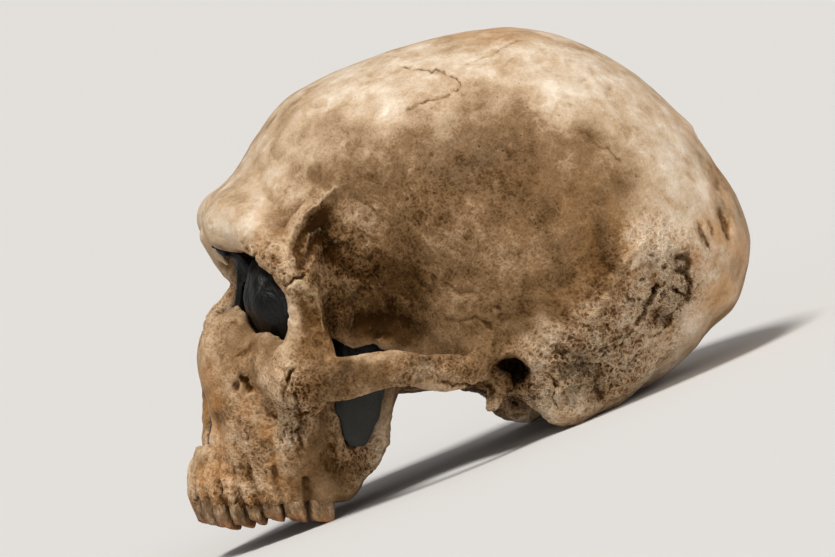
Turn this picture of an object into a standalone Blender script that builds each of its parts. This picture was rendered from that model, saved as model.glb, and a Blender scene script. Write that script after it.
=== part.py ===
"""Fossil hominin cranium: the fused skull bones, the upper teeth in their sockets and the dark filler
that stands for the bone that is lost inside the face.

Every size is in millimetres and in the level frame: the origin is midway between the ear openings, X runs
from the face (-) to the back of the head (+), Y to the skull's right and Z up. The last step turns the
skull about Y into the pose in which it rests, on its last molars and on the ridges behind the mastoids.
"""

import math

import bmesh
import bpy
import numpy as np
from mathutils import Euler, Matrix, Vector

MM = 0.001

# Driving dimensions
CLAY_STEP = 2.2
CRANIUM_TRIANGLES = 4560
FILLER_TRIANGLES = 200
FILLER_STEP = 2.0
FIT_GAP = 0.3
HALF_BREADTH = 74.0
VAULT_CENTRE = (25.0, 46.0)
VAULT_ROUNDNESS = 2.2
ARCH_HALF_WIDTH = 31.0
ARCH_DEPTH = 36.0
ARCH_CENTRE = -70.0
ARCH_END = -58.0
GUM_LEVEL = -48.0
ROOT_DEPTH = 9.0
CROWN_SWELL = (1.16, 1.12)
NECK_TAPER = (1.0, 0.86)
ROOT_TAPER = 0.62
REST_TILT = math.radians(21.93)
REST_SHIFT = (4.57, 0.0, 28.55)

# A distance beyond every form, and the name under which the clay's depth is stored on its grid
FAR = 90.0
DEPTH = "depth"
BLOCK_LOW = (-122.0, 0.0, -64.0)
BLOCK_HIGH = (108.0, 84.0, 136.0)

# The vault in the middle plane, as (X, Z), from above the brow round the back to the floor of the braincase
VAULT_OUTLINE = (
    (-93.0, 50.0), (-99.5, 61.0), (-97.0, 69.0), (-92.0, 77.5), (-86.5, 87.0), (-79.1, 97.1),
    (-70.0, 104.6), (-51.8, 113.6), (-24.5, 123.0), (2.7, 128.3), (20.9, 127.1), (39.1, 120.8),
    (57.3, 109.9), (75.5, 93.6), (84.6, 82.1), (93.6, 66.8), (98.6, 53.0), (99.3, 44.3),
    (97.3, 34.0), (92.3, 24.0), (84.0, 15.0), (75.5, 5.8), (61.8, -4.0), (45.0, -8.0),
    (20.0, -7.5), (-5.0, -3.0), (-30.0, 5.0), (-52.0, 14.0), (-70.0, 30.0), (-84.0, 42.0),
)

# The nasal passage, as the stations of a rod (x, y, z, radius), from between the eyes to its floor
NOSE = ((-92, 0, 37, 5), (-97, 0, 22, 7.5), (-100, 0, 4, 11), (-100, 0, -16, 13.5), (-99, 0, -22, 9))

# Each tooth of a side from the middle back: name, width along the arch, breadth across it, level of its tip
TEETH = (
    ("incisor_1", 7.8, 7.5, -57.0), ("incisor_2", 6.8, 7.5, -58.0), ("canine", 7.6, 9.0, -59.0),
    ("premolar_1", 7.2, 9.5, -58.5), ("premolar_2", 6.8, 9.8, -57.0), ("molar_1", 9.2, 11.5, -56.0),
    ("molar_2", 9.6, 12.0, -56.2), ("molar_3", 10.8, 11.5, -56.6),
)

# The dark filler: the lump in the left orbit, how far the nose's filler stands behind the passage's middle
# and past its wall, and the panel behind the left cheek as the stations of a flat rod
ORBIT_FILLER = ((-74, -33.5, 28), (17, 21, 17))
ORBIT_TURN = (22, 12)
NOSE_FILLER_BACK = 4.0
NOSE_FILLER_SWELL = 1.5
PANEL = ((-52, -33, 10, 8), (-51, -33, -8, 8), (-53, -33, -22, 8))
FILLER_MARGIN = 4.0


def evaluated_mesh(obj):
    """The object's mesh with its modifiers, as a new mesh."""
    graph = bpy.context.evaluated_depsgraph_get()
    return bpy.data.meshes.new_from_object(obj.evaluated_get(graph))


def smooth_outline(points, steps=12):
    """A closed Catmull-Rom curve through the points, as an array of (X, Z)."""
    p = np.array(points, float)
    before, after, beyond = np.roll(p, 1, 0), np.roll(p, -1, 0), np.roll(p, -2, 0)
    t = (np.arange(steps) / steps)[:, None, None]
    curve = 0.5 * (
        2 * p
        + (after - before) * t
        + (2 * before - 5 * p + 4 * after - beyond) * t**2
        + (3 * p - before - 3 * after + beyond) * t**3
    )
    return curve.transpose(1, 0, 2).reshape(-1, 2)


class Form:
    """A rounded solid: its signed distance and the box that holds it."""

    def __init__(self, distance, low, high):
        self.distance = distance
        self.low = np.array(low, float)
        self.high = np.array(high, float)


def egg(centre, radii, pitch=0.0, yaw=0.0, roll=0.0):
    """An ellipsoid. Pitch turns it about Y, yaw about Z and roll about X, in degrees."""
    turn = Euler([math.radians(a) for a in (roll, pitch, yaw)]).to_matrix()
    rows = np.array(turn.transposed(), np.float32)
    radii = np.array(radii, np.float32)
    reach = np.abs(np.array(turn)) @ radii

    def distance(x, y, z):
        near, steep = 0.0, 0.0
        for row, radius in zip(rows, radii):
            along = row[0] * (x - centre[0]) + row[1] * (y - centre[1]) + row[2] * (z - centre[2])
            near = near + (along / radius) ** 2
            steep = steep + (along / radius**2) ** 2
        near = np.sqrt(near)
        return near * (near - 1) / np.sqrt(steep + 1e-9)

    return Form(distance, np.array(centre) - reach, np.array(centre) + reach)


def rod(stations, squash=(1.0, 1.0, 1.0)):
    """A rod through stations (x, y, z, radius). Squash scales its section along X, Y and Z."""
    points = np.array([s[:3] for s in stations], float)
    radii = np.array([s[3] for s in stations], float)
    scale = np.array(squash, float)

    def distance(x, y, z):
        found = FAR
        for a, b, ra, rb in zip(points / scale, points[1:] / scale, radii, radii[1:]):
            run = b - a
            px, py, pz = x / scale[0] - a[0], y / scale[1] - a[1], z / scale[2] - a[2]
            t = np.clip((px * run[0] + py * run[1] + pz * run[2]) / (run @ run), 0, 1)
            away = (px - t * run[0]) ** 2 + (py - t * run[1]) ** 2 + (pz - t * run[2]) ** 2
            found = np.minimum(found, np.sqrt(away) - ra - t * (rb - ra))
        return found * scale.min()

    reach = radii[:, None] * scale
    return Form(distance, (points - reach).min(0), (points + reach).max(0))


def vault():
    """The braincase: the middle outline, closed sideways as a rounded egg."""
    outline = smooth_outline(VAULT_OUTLINE) - VAULT_CENTRE
    angle = np.arctan2(outline[:, 1], outline[:, 0])
    order = np.argsort(angle)
    radius = np.hypot(outline[:, 0], outline[:, 1])[order]
    angle = angle[order]

    def distance(x, y, z):
        across, up = x - VAULT_CENTRE[0], z - VAULT_CENTRE[1]
        reach = np.interp(np.arctan2(up, across), angle, radius, period=2 * math.pi)
        size = (np.hypot(across, up) / reach) ** VAULT_ROUNDNESS
        size = (size + (np.abs(y) / HALF_BREADTH) ** VAULT_ROUNDNESS) ** (1 / VAULT_ROUNDNESS)
        length = np.sqrt(across**2 + y**2 + up**2)
        return length * (1 - 1 / np.maximum(size, 0.05))

    return Form(distance, BLOCK_LOW, BLOCK_HIGH)


def surface_nodes(axes):
    """Geometry nodes that draw the surface where the depth stored on a grid of points is zero."""
    tree = bpy.data.node_groups.new("Clay surface", "GeometryNodeTree")
    for way in ("INPUT", "OUTPUT"):
        tree.interface.new_socket("Geometry", in_out=way, socket_type="NodeSocketGeometry")
    counts = [len(axis) for axis in axes]
    low = [float(axis[0]) * MM for axis in axes]
    high = [float(axis[-1]) * MM for axis in axes]
    step = [(b - a) / (n - 1) for a, b, n in zip(low, high, counts)]

    def vector_math(operation, incoming, value):
        node = tree.nodes.new("ShaderNodeVectorMath")
        node.operation = operation
        tree.links.new(incoming, node.inputs[0])
        if value:
            node.inputs[1].default_value = value
        return node

    place = tree.nodes.new("GeometryNodeInputPosition").outputs["Position"]
    place = vector_math("SUBTRACT", place, low).outputs["Vector"]
    place = vector_math("DIVIDE", place, step).outputs["Vector"]
    place = vector_math("ADD", place, (0.5, 0.5, 0.5)).outputs["Vector"]
    place = vector_math("FLOOR", place, None).outputs["Vector"]
    index = vector_math("DOT_PRODUCT", place, (counts[1] * counts[2], counts[2], 1)).outputs["Value"]
    depth = tree.nodes.new("GeometryNodeInputNamedAttribute")
    depth.data_type = "FLOAT"
    depth.inputs["Name"].default_value = DEPTH
    sample = tree.nodes.new("GeometryNodeSampleIndex")
    sample.data_type = "FLOAT"
    volume = tree.nodes.new("GeometryNodeVolumeCube")
    volume.inputs["Background"].default_value = -FAR * MM
    volume.inputs["Min"].default_value = low
    volume.inputs["Max"].default_value = high
    for letter, count in zip("XYZ", counts):
        volume.inputs["Resolution " + letter].default_value = count
    surface = tree.nodes.new("GeometryNodeVolumeToMesh")
    surface.inputs["Threshold"].default_value = 0
    surface.inputs["Adaptivity"].default_value = 0
    points = tree.nodes.new("NodeGroupInput").outputs["Geometry"]
    result = tree.nodes.new("NodeGroupOutput").inputs["Geometry"]
    tree.links.new(points, sample.inputs["Geometry"])
    tree.links.new(depth.outputs["Attribute"], sample.inputs["Value"])
    tree.links.new(index, sample.inputs["Index"])
    tree.links.new(sample.outputs["Value"], volume.inputs["Density"])
    tree.links.new(volume.outputs["Volume"], surface.inputs["Volume"])
    tree.links.new(surface.outputs["Mesh"], result)
    return tree


class Clay:
    """A block of clay: signed distances on a grid, to which forms are added and from which they are cut."""

    def __init__(self, low, high, step):
        self.axes = [np.arange(a, b + step, step, dtype=np.float32) for a, b in zip(low, high)]
        self.distance = np.full([len(a) for a in self.axes], FAR, np.float32)

    def window(self, form, margin):
        """The part of the grid that the form reaches, and the coordinates there."""
        cut = []
        for axis, low, high in zip(self.axes, form.low - margin, form.high + margin):
            cut.append(slice(np.searchsorted(axis, low), np.searchsorted(axis, high)))
        x, y, z = (axis[c] for axis, c in zip(self.axes, cut))
        return tuple(cut), x[:, None, None], y[None, :, None], z[None, None, :]

    def add(self, form, blend=0.0, margin=6.0):
        at, x, y, z = self.window(form, margin + blend)
        self.distance[at] = smooth_least(self.distance[at], form.distance(x, y, z), blend)

    def cut(self, form, blend=0.0, margin=6.0):
        at, x, y, z = self.window(form, margin + blend)
        self.distance[at] = -smooth_least(-self.distance[at], form.distance(x, y, z), blend)

    def unfold(self):
        """Mirrors the block across the middle plane, where its first layer lies."""
        self.distance = np.concatenate([self.distance[:, :0:-1], self.distance], axis=1)
        self.axes[1] = np.concatenate([-self.axes[1][:0:-1], self.axes[1]])

    def mesh(self):
        """The surface of the clay, as a mesh in metres."""
        points = bpy.data.meshes.new("clay points")
        points.vertices.add(self.distance.size)
        depth = points.attributes.new(DEPTH, "FLOAT", "POINT")
        depth.data.foreach_set("value", (-self.distance * MM).ravel())
        cloud = bpy.data.objects.new("clay points", points)
        bpy.context.scene.collection.objects.link(cloud)
        surface = cloud.modifiers.new("Surface", "NODES")
        surface.node_group = surface_nodes(self.axes)
        mesh = evaluated_mesh(cloud)
        bpy.data.objects.remove(cloud)
        return mesh


def smooth_least(a, b, blend):
    """The smaller of two distances, with the corner between them rounded over the blend."""
    least = np.minimum(a, b)
    if blend <= 0:
        return least
    corner = np.maximum(blend - np.abs(a - b), 0) / blend
    return least - corner**2 * blend / 4


def arch_point(along, inset=0.0):
    """A point (x, y) of the tooth arch at a distance along it from the middle of the front."""
    steps = np.linspace(0, math.pi / 2, 60)
    x = ARCH_CENTRE - (ARCH_DEPTH - inset) * np.cos(steps)
    y = (ARCH_HALF_WIDTH - inset) * np.sin(steps)
    x, y = np.append(x, ARCH_END), np.append(y, y[-1])
    length = np.append(0, np.cumsum(np.hypot(np.diff(x), np.diff(y))))
    return float(np.interp(along, length, x)), float(np.interp(along, length, y)), float(length[-1])


def arch_stations(z, radius, inset=0.0, count=14):
    """Stations along one half of the tooth arch, from the middle of the front to its end."""
    whole = arch_point(0, inset)[2]
    places = [arch_point(whole * i / (count - 1), inset) for i in range(count)]
    return [(x, y, z, radius) for x, y, _ in places]


def shape_vault(clay):
    """The braincase with the side walls over the ears, the occiput's ridge and its lower bulges."""
    clay.add(vault())
    clay.add(egg((14, 52, 18), (40, 17, 24), pitch=-4), 14)
    clay.add(egg((55, 25, 13), (27, 22, 14.5), pitch=-41), 10)
    clay.add(egg((84, 0, 28), (8, 36, 6), pitch=-20), 8)
    clay.cut(egg((-58, 70, 42), (20, 21, 34)), 14)


def shape_base(clay):
    """The floor of the skull between the ears, with the mastoids and condyles."""
    clay.add(egg((-18, 0, 3), (34, 17, 10), pitch=-12), 8)
    clay.add(egg((2, 38, 2), (28, 26, 9)), 8)
    clay.add(egg((23, 54, -6), (13, 9, 14.5), pitch=-8), 6)
    clay.add(egg((30, 40, -8), (13, 4, 8), pitch=16), 4)
    clay.add(egg((11, 15, -11), (11, 6, 8), yaw=-25), 3)


def shape_brow(clay):
    """The brow ridge, from between the eyes to the outer corner of the orbit."""
    ridge = [
        (-94.5, 0, 54, 9.5), (-96, 11, 56.5, 10), (-95.5, 21, 57, 10.5), (-92.5, 32, 54.5, 10),
        (-89, 42, 49.5, 9), (-85.5, 49.5, 43, 7.5), (-81.5, 55, 37, 5.5), (-79.5, 57, 32, 4.6),
    ]
    clay.add(rod(ridge), 9)
    clay.add(rod([(-97.5, 0, 49, 8), (-92.5, 0, 41, 7.5), (-85, 0, 36, 8)], (1, 1.25, 1)), 6)
    clay.add(rod([(-84, 50, 48, 3.5), (-79.5, 50, 54, 4), (-72, 49, 61, 4)]), 9)


def shape_face(clay):
    """The upper jaw, its alveolar arch, the cheekbones and the zygomatic arches."""
    clay.add(rod(arch_stations(-32.0, 7.0, inset=2.0)), 3)
    clay.add(rod(arch_stations(-42.4, 6.6, inset=1.5)), 4)
    clay.add(egg((-88, 19, -8), (15, 13, 30), pitch=4), 8)
    clay.add(egg((-79, 27, -14), (22, 11, 30)), 10)
    clay.add(egg((-63, 25, -30), (11, 11, 17)), 6)
    clay.add(rod([(-94, 22, 2, 9), (-87, 38, 2.5, 9.5), (-78, 52, 1, 10.5)]), 9)
    clay.add(egg((-76, 54, -2), (12, 8, 12)), 6)
    clay.add(rod([(-79, 57, 33, 4.3), (-76.5, 58.5, 23, 5.8), (-75, 57.5, 8, 8)], (1.15, 0.72, 1)), 5)
    cheek_arch = [
        (-74, 59, -2, 9), (-67.5, 63, -3, 8), (-61, 67, -3.5, 7), (-53, 70, -1, 6.6),
        (-46, 72, 0.6, 6.4), (-38, 72.5, 0, 5.9), (-31, 71.5, -1.3, 5.5), (-24, 70, -1.6, 5.8),
        (-18, 68, -0.6, 5.7), (-9, 65, 3, 6), (4, 65, 8, 4), (20, 64, 11, 3),
    ]
    clay.add(rod(cheek_arch, (1, 0.5, 1)), 4)
    clay.add(rod([(-99, 15, -25, 5.5), (-98, 15, -8, 5.2), (-98.5, 13, 8, 5.2),
                  (-99, 11, 20, 4.8), (-91, 9.5, 31, 4), (-88, 8, 40, 5)]), 5)
    clay.add(rod([(-78, 54.5, 34, 3.2), (-67, 49, 32, 3.4), (-53, 42, 30, 4.2)], (1, 1, 5.6)), 5)
    clay.add(rod([(-39, 25, -3, 3), (-43, 25, -20, 2.6), (-47, 25, -32, 3), (-56, 25, -42, 5)]), 4)
    clay.add(rod([(-36, 15, -3, 3), (-42, 15, -22, 2.4), (-50, 17, -36, 3)]), 4)


def shape_left_side(clay):
    """What only the left side keeps: the jaw swells further below the orbit, and a spur hangs by the ear."""
    clay.add(egg((-96.5, -19, 4), (14, 14, 16), pitch=-15), 10)
    clay.add(rod([(0, -57, -3, 4.5), (-4, -58, -9, 3.2), (-6, -58, -12.5, 2.4)]), 3)


def hollow_out(clay):
    """Cuts the orbits, the nose, the palate, the ears and the braincase's hollow, open below."""
    clay.cut(egg((-84, 33.5, 28), (30, 20.5, 17), yaw=-22, roll=-12), 4)
    clay.cut(rod(NOSE, (2.2, 1, 1)), 3)
    clay.cut(egg((-66, 0, -52), (34, 20, 17)), 4)
    clay.add(egg((-80, 0, -33), (28, 24, 3.2)), 2)
    clay.cut(rod([(-2, 76, 0, 8), (0, 66, 0.5, 5.2), (5, 44, 2, 4)]), 3)
    clay.cut(egg((-16, 56, -7), (8, 10, 6)), 4)
    clay.cut(egg((8, 0, 58), (74, 63, 58)))
    clay.cut(rod([(33, 0, 14, 16), (30, 0, -26, 16)], (1.1, 0.95, 1)), 3)


def model_clay(step):
    clay = Clay(BLOCK_LOW, BLOCK_HIGH, step)
    shape_vault(clay)
    shape_base(clay)
    shape_brow(clay)
    shape_face(clay)
    hollow_out(clay)
    clay.unfold()
    shape_left_side(clay)
    return clay


def new_object(name, mesh, collection, material=None):
    obj = bpy.data.objects.new(name, mesh)
    collection.objects.link(obj)
    if material:
        mesh.materials.clear()
        mesh.materials.append(material)
    return obj


def finish_modifiers(obj):
    """Replaces the object's mesh with what its modifiers make of it."""
    mesh = evaluated_mesh(obj)
    obj.modifiers.clear()
    obj.data = mesh


def thin_out(obj, triangles):
    """Brings the object's mesh down to a number of triangles."""
    mesh = obj.data
    mesh.calc_loop_triangles()
    thin = obj.modifiers.new("Thin out", "DECIMATE")
    thin.ratio = triangles / len(mesh.loop_triangles)
    thin.use_collapse_triangulate = True
    finish_modifiers(obj)


def cut_away(obj, cutter):
    cut = obj.modifiers.new("Cut " + cutter.name, "BOOLEAN")
    cut.operation = "DIFFERENCE"
    cut.solver = "EXACT"
    cut.object = cutter


def grown_copy(obj, cutters):
    """A copy of the object that is larger all round by the gap it keeps to its neighbour."""
    copy = new_object(obj.name + " with gap", obj.data.copy(), cutters)
    grow = copy.modifiers.new("Grow", "DISPLACE")
    grow.mid_level = 0
    grow.strength = FIT_GAP * MM
    copy.hide_render = True
    copy.display_type = "WIRE"
    return copy


def keep_largest_body(obj):
    """Drops the crumbs that a cut leaves beside the main body."""
    bm = bmesh.new()
    bm.from_mesh(obj.data)
    seen, bodies = set(), []
    for start in bm.verts:
        if start in seen:
            continue
        body, queue = [], [start]
        seen.add(start)
        while queue:
            vert = queue.pop()
            body.append(vert)
            for edge in vert.link_edges:
                other = edge.other_vert(vert)
                if other not in seen:
                    seen.add(other)
                    queue.append(other)
        bodies.append(body)
    bodies.sort(key=len)
    bmesh.ops.delete(bm, geom=[vert for body in bodies[:-1] for vert in body], context="VERTS")
    bm.to_mesh(obj.data)
    bm.free()


def plain_material(name, colour, roughness, metallic=0.0):
    material = bpy.data.materials.new(name)
    material.use_nodes = True
    shader = material.node_tree.nodes["Principled BSDF"]
    shader.inputs["Base Color"].default_value = (*colour, 1)
    shader.inputs["Roughness"].default_value = roughness
    shader.inputs["Metallic"].default_value = metallic
    return material


def tooth_mesh(name, width, breadth, top, neck, tip):
    """A tooth along Z: a worn crown, a slightly narrower neck and a tapering root."""
    bm = bmesh.new()
    crown = (width * CROWN_SWELL[0], breadth * CROWN_SWELL[1], neck - tip)
    bmesh.ops.create_cube(bm, size=1, matrix=Matrix.Diagonal((*crown, 1)))
    bmesh.ops.translate(bm, verts=bm.verts, vec=(0, 0, (neck + tip) / 2))
    roof = max(bm.faces, key=lambda face: face.calc_center_median().z)
    neck_height, neck_taper = NECK_TAPER
    for height, taper in ((neck_height, neck_taper), (top - neck - neck_height, ROOT_TAPER)):
        roof = bmesh.ops.extrude_discrete_faces(bm, faces=[roof])["faces"][0]
        middle = roof.calc_center_median()
        for vert in roof.verts:
            vert.co.x = middle.x + (vert.co.x - middle.x) * taper
            vert.co.y = middle.y + (vert.co.y - middle.y) * taper
            vert.co.z += height
    bmesh.ops.scale(bm, verts=bm.verts, vec=(MM, MM, MM))
    mesh = bpy.data.meshes.new(name)
    bm.to_mesh(mesh)
    bm.free()
    return mesh


def tooth_spread():
    """How much the teeth's widths are stretched so that the row fills the arch."""
    widths = [tooth[1] for tooth in TEETH]
    return (arch_point(0)[2] - 0.5 * widths[-1] - FIT_GAP) / (sum(widths) - 0.5 * widths[-1])


def add_teeth(collection, material):
    """The upper teeth on both sides, set along the arch, each clear of the next."""
    teeth = []
    spread = tooth_spread()
    along = 0.0
    for name, width, breadth, tip in TEETH:
        middle = along + width * spread / 2
        along += width * spread
        x, y, _ = arch_point(middle)
        ahead = arch_point(middle + 0.5)
        turn = math.atan2(ahead[1] - y, ahead[0] - x)
        wide = width * spread - 2 * FIT_GAP
        for side, sign in (("left", -1), ("right", 1)):
            mesh = tooth_mesh(name, wide, breadth, GUM_LEVEL + ROOT_DEPTH, GUM_LEVEL, tip)
            tooth = new_object(side + "_" + name, mesh, collection, material)
            tooth.location = Vector((x, y * sign, 0)) * MM
            tooth.rotation_euler.z = turn * sign
            soften = tooth.modifiers.new("Soften", "SUBSURF")
            soften.levels = 1
            soften.render_levels = 1
            teeth.append(tooth)
    return teeth


def filler_mesh(form):
    clay = Clay(form.low - FILLER_MARGIN, form.high + FILLER_MARGIN, FILLER_STEP)
    clay.add(form)
    return clay.mesh()


def add_fillers(collection, material):
    """The dark filler: one lump in each orbit, one in the nose and one panel behind each cheek."""
    orbit = egg(*ORBIT_FILLER, yaw=ORBIT_TURN[0], roll=ORBIT_TURN[1])
    passage = [(x + NOSE_FILLER_BACK, y, z, radius + NOSE_FILLER_SWELL) for x, y, z, radius in NOSE]
    nose = rod(passage, (0.5, 1, 1))
    panel = rod(PANEL, (1.25, 0.6, 1))
    fillers = []
    for name, form in (("orbit_filler", orbit), ("cheek_filler", panel), ("nose_filler", nose)):
        mesh = filler_mesh(form)
        if name == "nose_filler":
            fillers.append(new_object(name, mesh, collection, material))
            continue
        for side, sign in (("left", 1), ("right", -1)):
            filler = new_object(side + "_" + name, mesh.copy(), collection, material)
            filler.data.transform(Matrix.Diagonal((1, sign, 1, 1)))
            if sign < 0:
                filler.data.flip_normals()
            fillers.append(filler)
    for filler in fillers:
        thin_out(filler, FILLER_TRIANGLES)
    return fillers


def main():
    for obj in list(bpy.data.objects):
        bpy.data.objects.remove(obj)
    part = bpy.data.collections.new("Fossil cranium")
    cutters = bpy.data.collections.new("Cutters")
    for collection in (part, cutters):
        bpy.context.scene.collection.children.link(collection)
    bone = plain_material("Fossil bone", (0.48, 0.36, 0.22), 0.55)
    enamel = plain_material("Worn tooth", (0.52, 0.36, 0.19), 0.4)
    dark = plain_material("Dark filler", (0.03, 0.03, 0.032), 0.35)

    cranium = new_object("cranium", model_clay(CLAY_STEP).mesh(), part, bone)
    thin_out(cranium, CRANIUM_TRIANGLES)
    teeth = add_teeth(part, enamel)
    bpy.context.view_layer.update()
    for tooth in teeth:
        finish_modifiers(tooth)
        socket = grown_copy(tooth, cutters)
        socket.matrix_world = tooth.matrix_world
        cut_away(cranium, socket)
    bpy.context.view_layer.update()
    finish_modifiers(cranium)
    bone_with_gap = grown_copy(cranium, cutters)
    for filler in add_fillers(part, dark):
        cut_away(filler, bone_with_gap)
        finish_modifiers(filler)
        keep_largest_body(filler)

    rest = bpy.data.objects.new("Rest pose", None)
    part.objects.link(rest)
    rest.rotation_euler.y = REST_TILT
    rest.location = Vector(REST_SHIFT) * MM
    for obj in list(part.objects):
        if obj is not rest:
            obj.parent = rest


main()
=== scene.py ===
"""The fossil cranium as it looks: the bone with its relief, pits, cracks and stains, the worn teeth and the
dark filler, resting on a pale floor.

Sizes are in millimetres and in the level frame: the origin is midway between the ear openings, X runs from
the face (-) to the back of the head (+), Y to the skull's right and Z up. A piece is turned into the pose in
which the skull rests once it is modelled. Marks lie in the side plan, which is the level view of the
photograph: across to the back of the head and up.
"""

import math
from collections import namedtuple

import bmesh
import bpy
import numpy as np
from mathutils import Euler, Matrix, Vector

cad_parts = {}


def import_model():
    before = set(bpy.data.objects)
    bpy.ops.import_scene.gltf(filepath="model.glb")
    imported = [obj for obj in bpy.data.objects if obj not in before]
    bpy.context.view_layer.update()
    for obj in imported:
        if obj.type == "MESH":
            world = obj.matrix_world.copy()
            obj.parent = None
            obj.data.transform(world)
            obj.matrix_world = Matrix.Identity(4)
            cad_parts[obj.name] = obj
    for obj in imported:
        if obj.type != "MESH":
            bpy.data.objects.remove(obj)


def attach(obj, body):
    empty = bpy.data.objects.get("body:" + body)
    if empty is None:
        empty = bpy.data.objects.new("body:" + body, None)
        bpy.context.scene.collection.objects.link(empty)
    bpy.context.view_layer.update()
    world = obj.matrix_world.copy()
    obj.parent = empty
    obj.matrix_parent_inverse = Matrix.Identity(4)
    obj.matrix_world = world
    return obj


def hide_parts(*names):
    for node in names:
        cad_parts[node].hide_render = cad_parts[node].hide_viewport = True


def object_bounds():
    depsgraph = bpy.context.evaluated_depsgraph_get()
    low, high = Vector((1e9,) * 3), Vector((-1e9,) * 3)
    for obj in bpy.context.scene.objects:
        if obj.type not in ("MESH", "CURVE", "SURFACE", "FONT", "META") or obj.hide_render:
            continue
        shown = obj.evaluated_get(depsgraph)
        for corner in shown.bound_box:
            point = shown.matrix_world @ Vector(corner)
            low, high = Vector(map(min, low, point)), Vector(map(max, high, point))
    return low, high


MM = 0.001

# How fine the pieces are modelled
BONE_STEP = 0.9
BONE_TRIANGLES = 196000
TOOTH_STEP = 0.5
FILLER_STEP = 1.0

# The gaps that the pieces keep to each other and to the object's box, and the teeth's added gap to its front
FIT_GAP = 0.3
BOX_GAP = 0.05
TOOTH_RECESS = 0.25

# The braincase, and the centre and radii of its hollow
HALF_BREADTH = 74.0
VAULT_CENTRE = (25.0, 46.0)
VAULT_ROUNDNESS = 2.2
BRAIN_HOLLOW = ((8, 0, 58), (74, 63, 58))

# The tooth arch, seen from below, and the levels of its teeth
ARCH_HALF_WIDTH = 31.0
ARCH_DEPTH = 36.0
ARCH_CENTRE = -70.0
ARCH_END = -58.0
ARCH_STATIONS = 14
GUM_LEVEL = -48.0
ROOT_DEPTH = 9.0

# The resting pose of the level frame
REST_TILT = math.radians(21.93)
REST_SHIFT = (4.57, 0.0, 28.55)

# The photograph's view: how far the skull is turned to the camera, a pixel's size and the origin's pixel
SIDE_YAW = math.radians(8.0)
PIXEL = 0.375
ORIGIN_PIXEL = (484.8, 370.0)

# The camera, in metres, and the middle of its picture in the side plan
CAMERA_DISTANCE = 5.0
FRAME_WIDTH = 0.313
CENTRE_ACROSS = -25.2
CENTRE_UP = 34.3
SENSOR_WIDTH = 36.0

# The floor's side and how far the camera sees, in metres, so that no edge of it shows
FLOOR_SIZE = 400
SIGHT = 1000

# The block of clay for the bone's right half, how far round a form the clay is worked, and a distance that
# is beyond any form
BLOCK_LOW = (-122.0, 0.0, -64.0)
BLOCK_HIGH = (108.0, 84.0, 136.0)
REACH = 6.0
FAR = 90.0
DEPTH = "depth"

# The vault in the middle plane, as (X, Z), from above the brow round the back to the floor of the braincase
VAULT_OUTLINE = (
    (-93.0, 50.0), (-99.5, 61.0), (-97.0, 69.0), (-92.0, 77.5), (-86.5, 87.0), (-79.1, 97.1),
    (-70.0, 104.6), (-51.8, 113.6), (-24.5, 123.0), (2.7, 128.3), (20.9, 127.1), (39.1, 120.8),
    (57.3, 109.9), (75.5, 93.6), (84.6, 82.1), (93.6, 66.8), (98.6, 53.0), (99.3, 44.3),
    (97.3, 34.0), (92.3, 24.0), (84.0, 15.0), (75.5, 5.8), (61.8, -4.0), (45.0, -8.0),
    (20.0, -7.5), (-5.0, -3.0), (-30.0, 5.0), (-52.0, 14.0), (-70.0, 30.0), (-84.0, 42.0),
)

# A side's teeth from the middle back: width along the arch, breadth across it, level of the tip, how far a
# tooth leans back from root to tip, its number of outer columns and how far the bone covers it below the
# gum level
Tooth = namedtuple("Tooth", "name width breadth tip lean columns cover")
TEETH = (
    Tooth("incisor_1", 7.6, 7.5, -57.4, 4.4, 1, 3.4),
    Tooth("incisor_2", 6.6, 7.5, -58.2, 5.5, 1, 2.6),
    Tooth("canine", 7.4, 9.0, -59.2, 7.0, 1, 4.0),
    Tooth("premolar_1", 7.0, 9.5, -58.7, 7.0, 1, 2.8),
    Tooth("premolar_2", 5.8, 9.8, -57.2, 6.0, 1, 1.4),
    Tooth("molar_1", 7.9, 11.5, -56.0, 4.4, 2, 0.0),
    Tooth("molar_2", 9.0, 12.0, -56.2, 3.0, 2, -0.6),
    Tooth("molar_3", 10.6, 11.5, -57.0, 1.6, 2, -2.6),
)

# The bone over a root: height over its lower end, how far out it stands and its share of the tooth's width
ROOT_RIDGE = ((0, 2.7, 0.45), (6, 3.2, 0.45), (13, 2.4, 0.36), (21, 0.6, 0.24))
# The two ridges over a molar: their places as shares of its width, and how slim they are
MOLAR_RIDGES = (-0.26, 0.26)
MOLAR_SLIMNESS = 0.62
# The groove between two roots: its level, how far out it lies and its half width
ROOT_GROOVE = ((-57, 4.2, 1.6), (-50, 5.0, 1.5), (-44, 5.8, 1.3), (-36, 6.8, 0.9))
# How much less far out the ridges and grooves of the front teeth lie
FRONT_SETBACK = 1.5
# Where the front teeth's share sets in along X, and over how far it grows to the whole
FRONT_SHARE_START = -84
FRONT_SHARE_REACH = 12
# A tooth's outer column: height over its tip, its share of the tooth's width and how far out it stands
TOOTH_COLUMN = ((-2, 0.41, 0.1), (3, 0.45, 0.7), (6.5, 0.46, 1.1), (9, 0.42, 1.0), (19, 0.28, 0.6))


def evaluated_mesh(obj):
    """The object's mesh with its modifiers, as a new mesh."""
    graph = bpy.context.evaluated_depsgraph_get()
    return bpy.data.meshes.new_from_object(obj.evaluated_get(graph))


def smooth_outline(points, steps=12):
    """A closed Catmull-Rom curve through the points, as an array of (X, Z)."""
    p = np.array(points, float)
    before, after, beyond = np.roll(p, 1, 0), np.roll(p, -1, 0), np.roll(p, -2, 0)
    t = (np.arange(steps) / steps)[:, None, None]
    curve = 0.5 * (
        2 * p
        + (after - before) * t
        + (2 * before - 5 * p + 4 * after - beyond) * t**2
        + (3 * p - before - 3 * after + beyond) * t**3
    )
    return curve.transpose(1, 0, 2).reshape(-1, 2)


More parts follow.
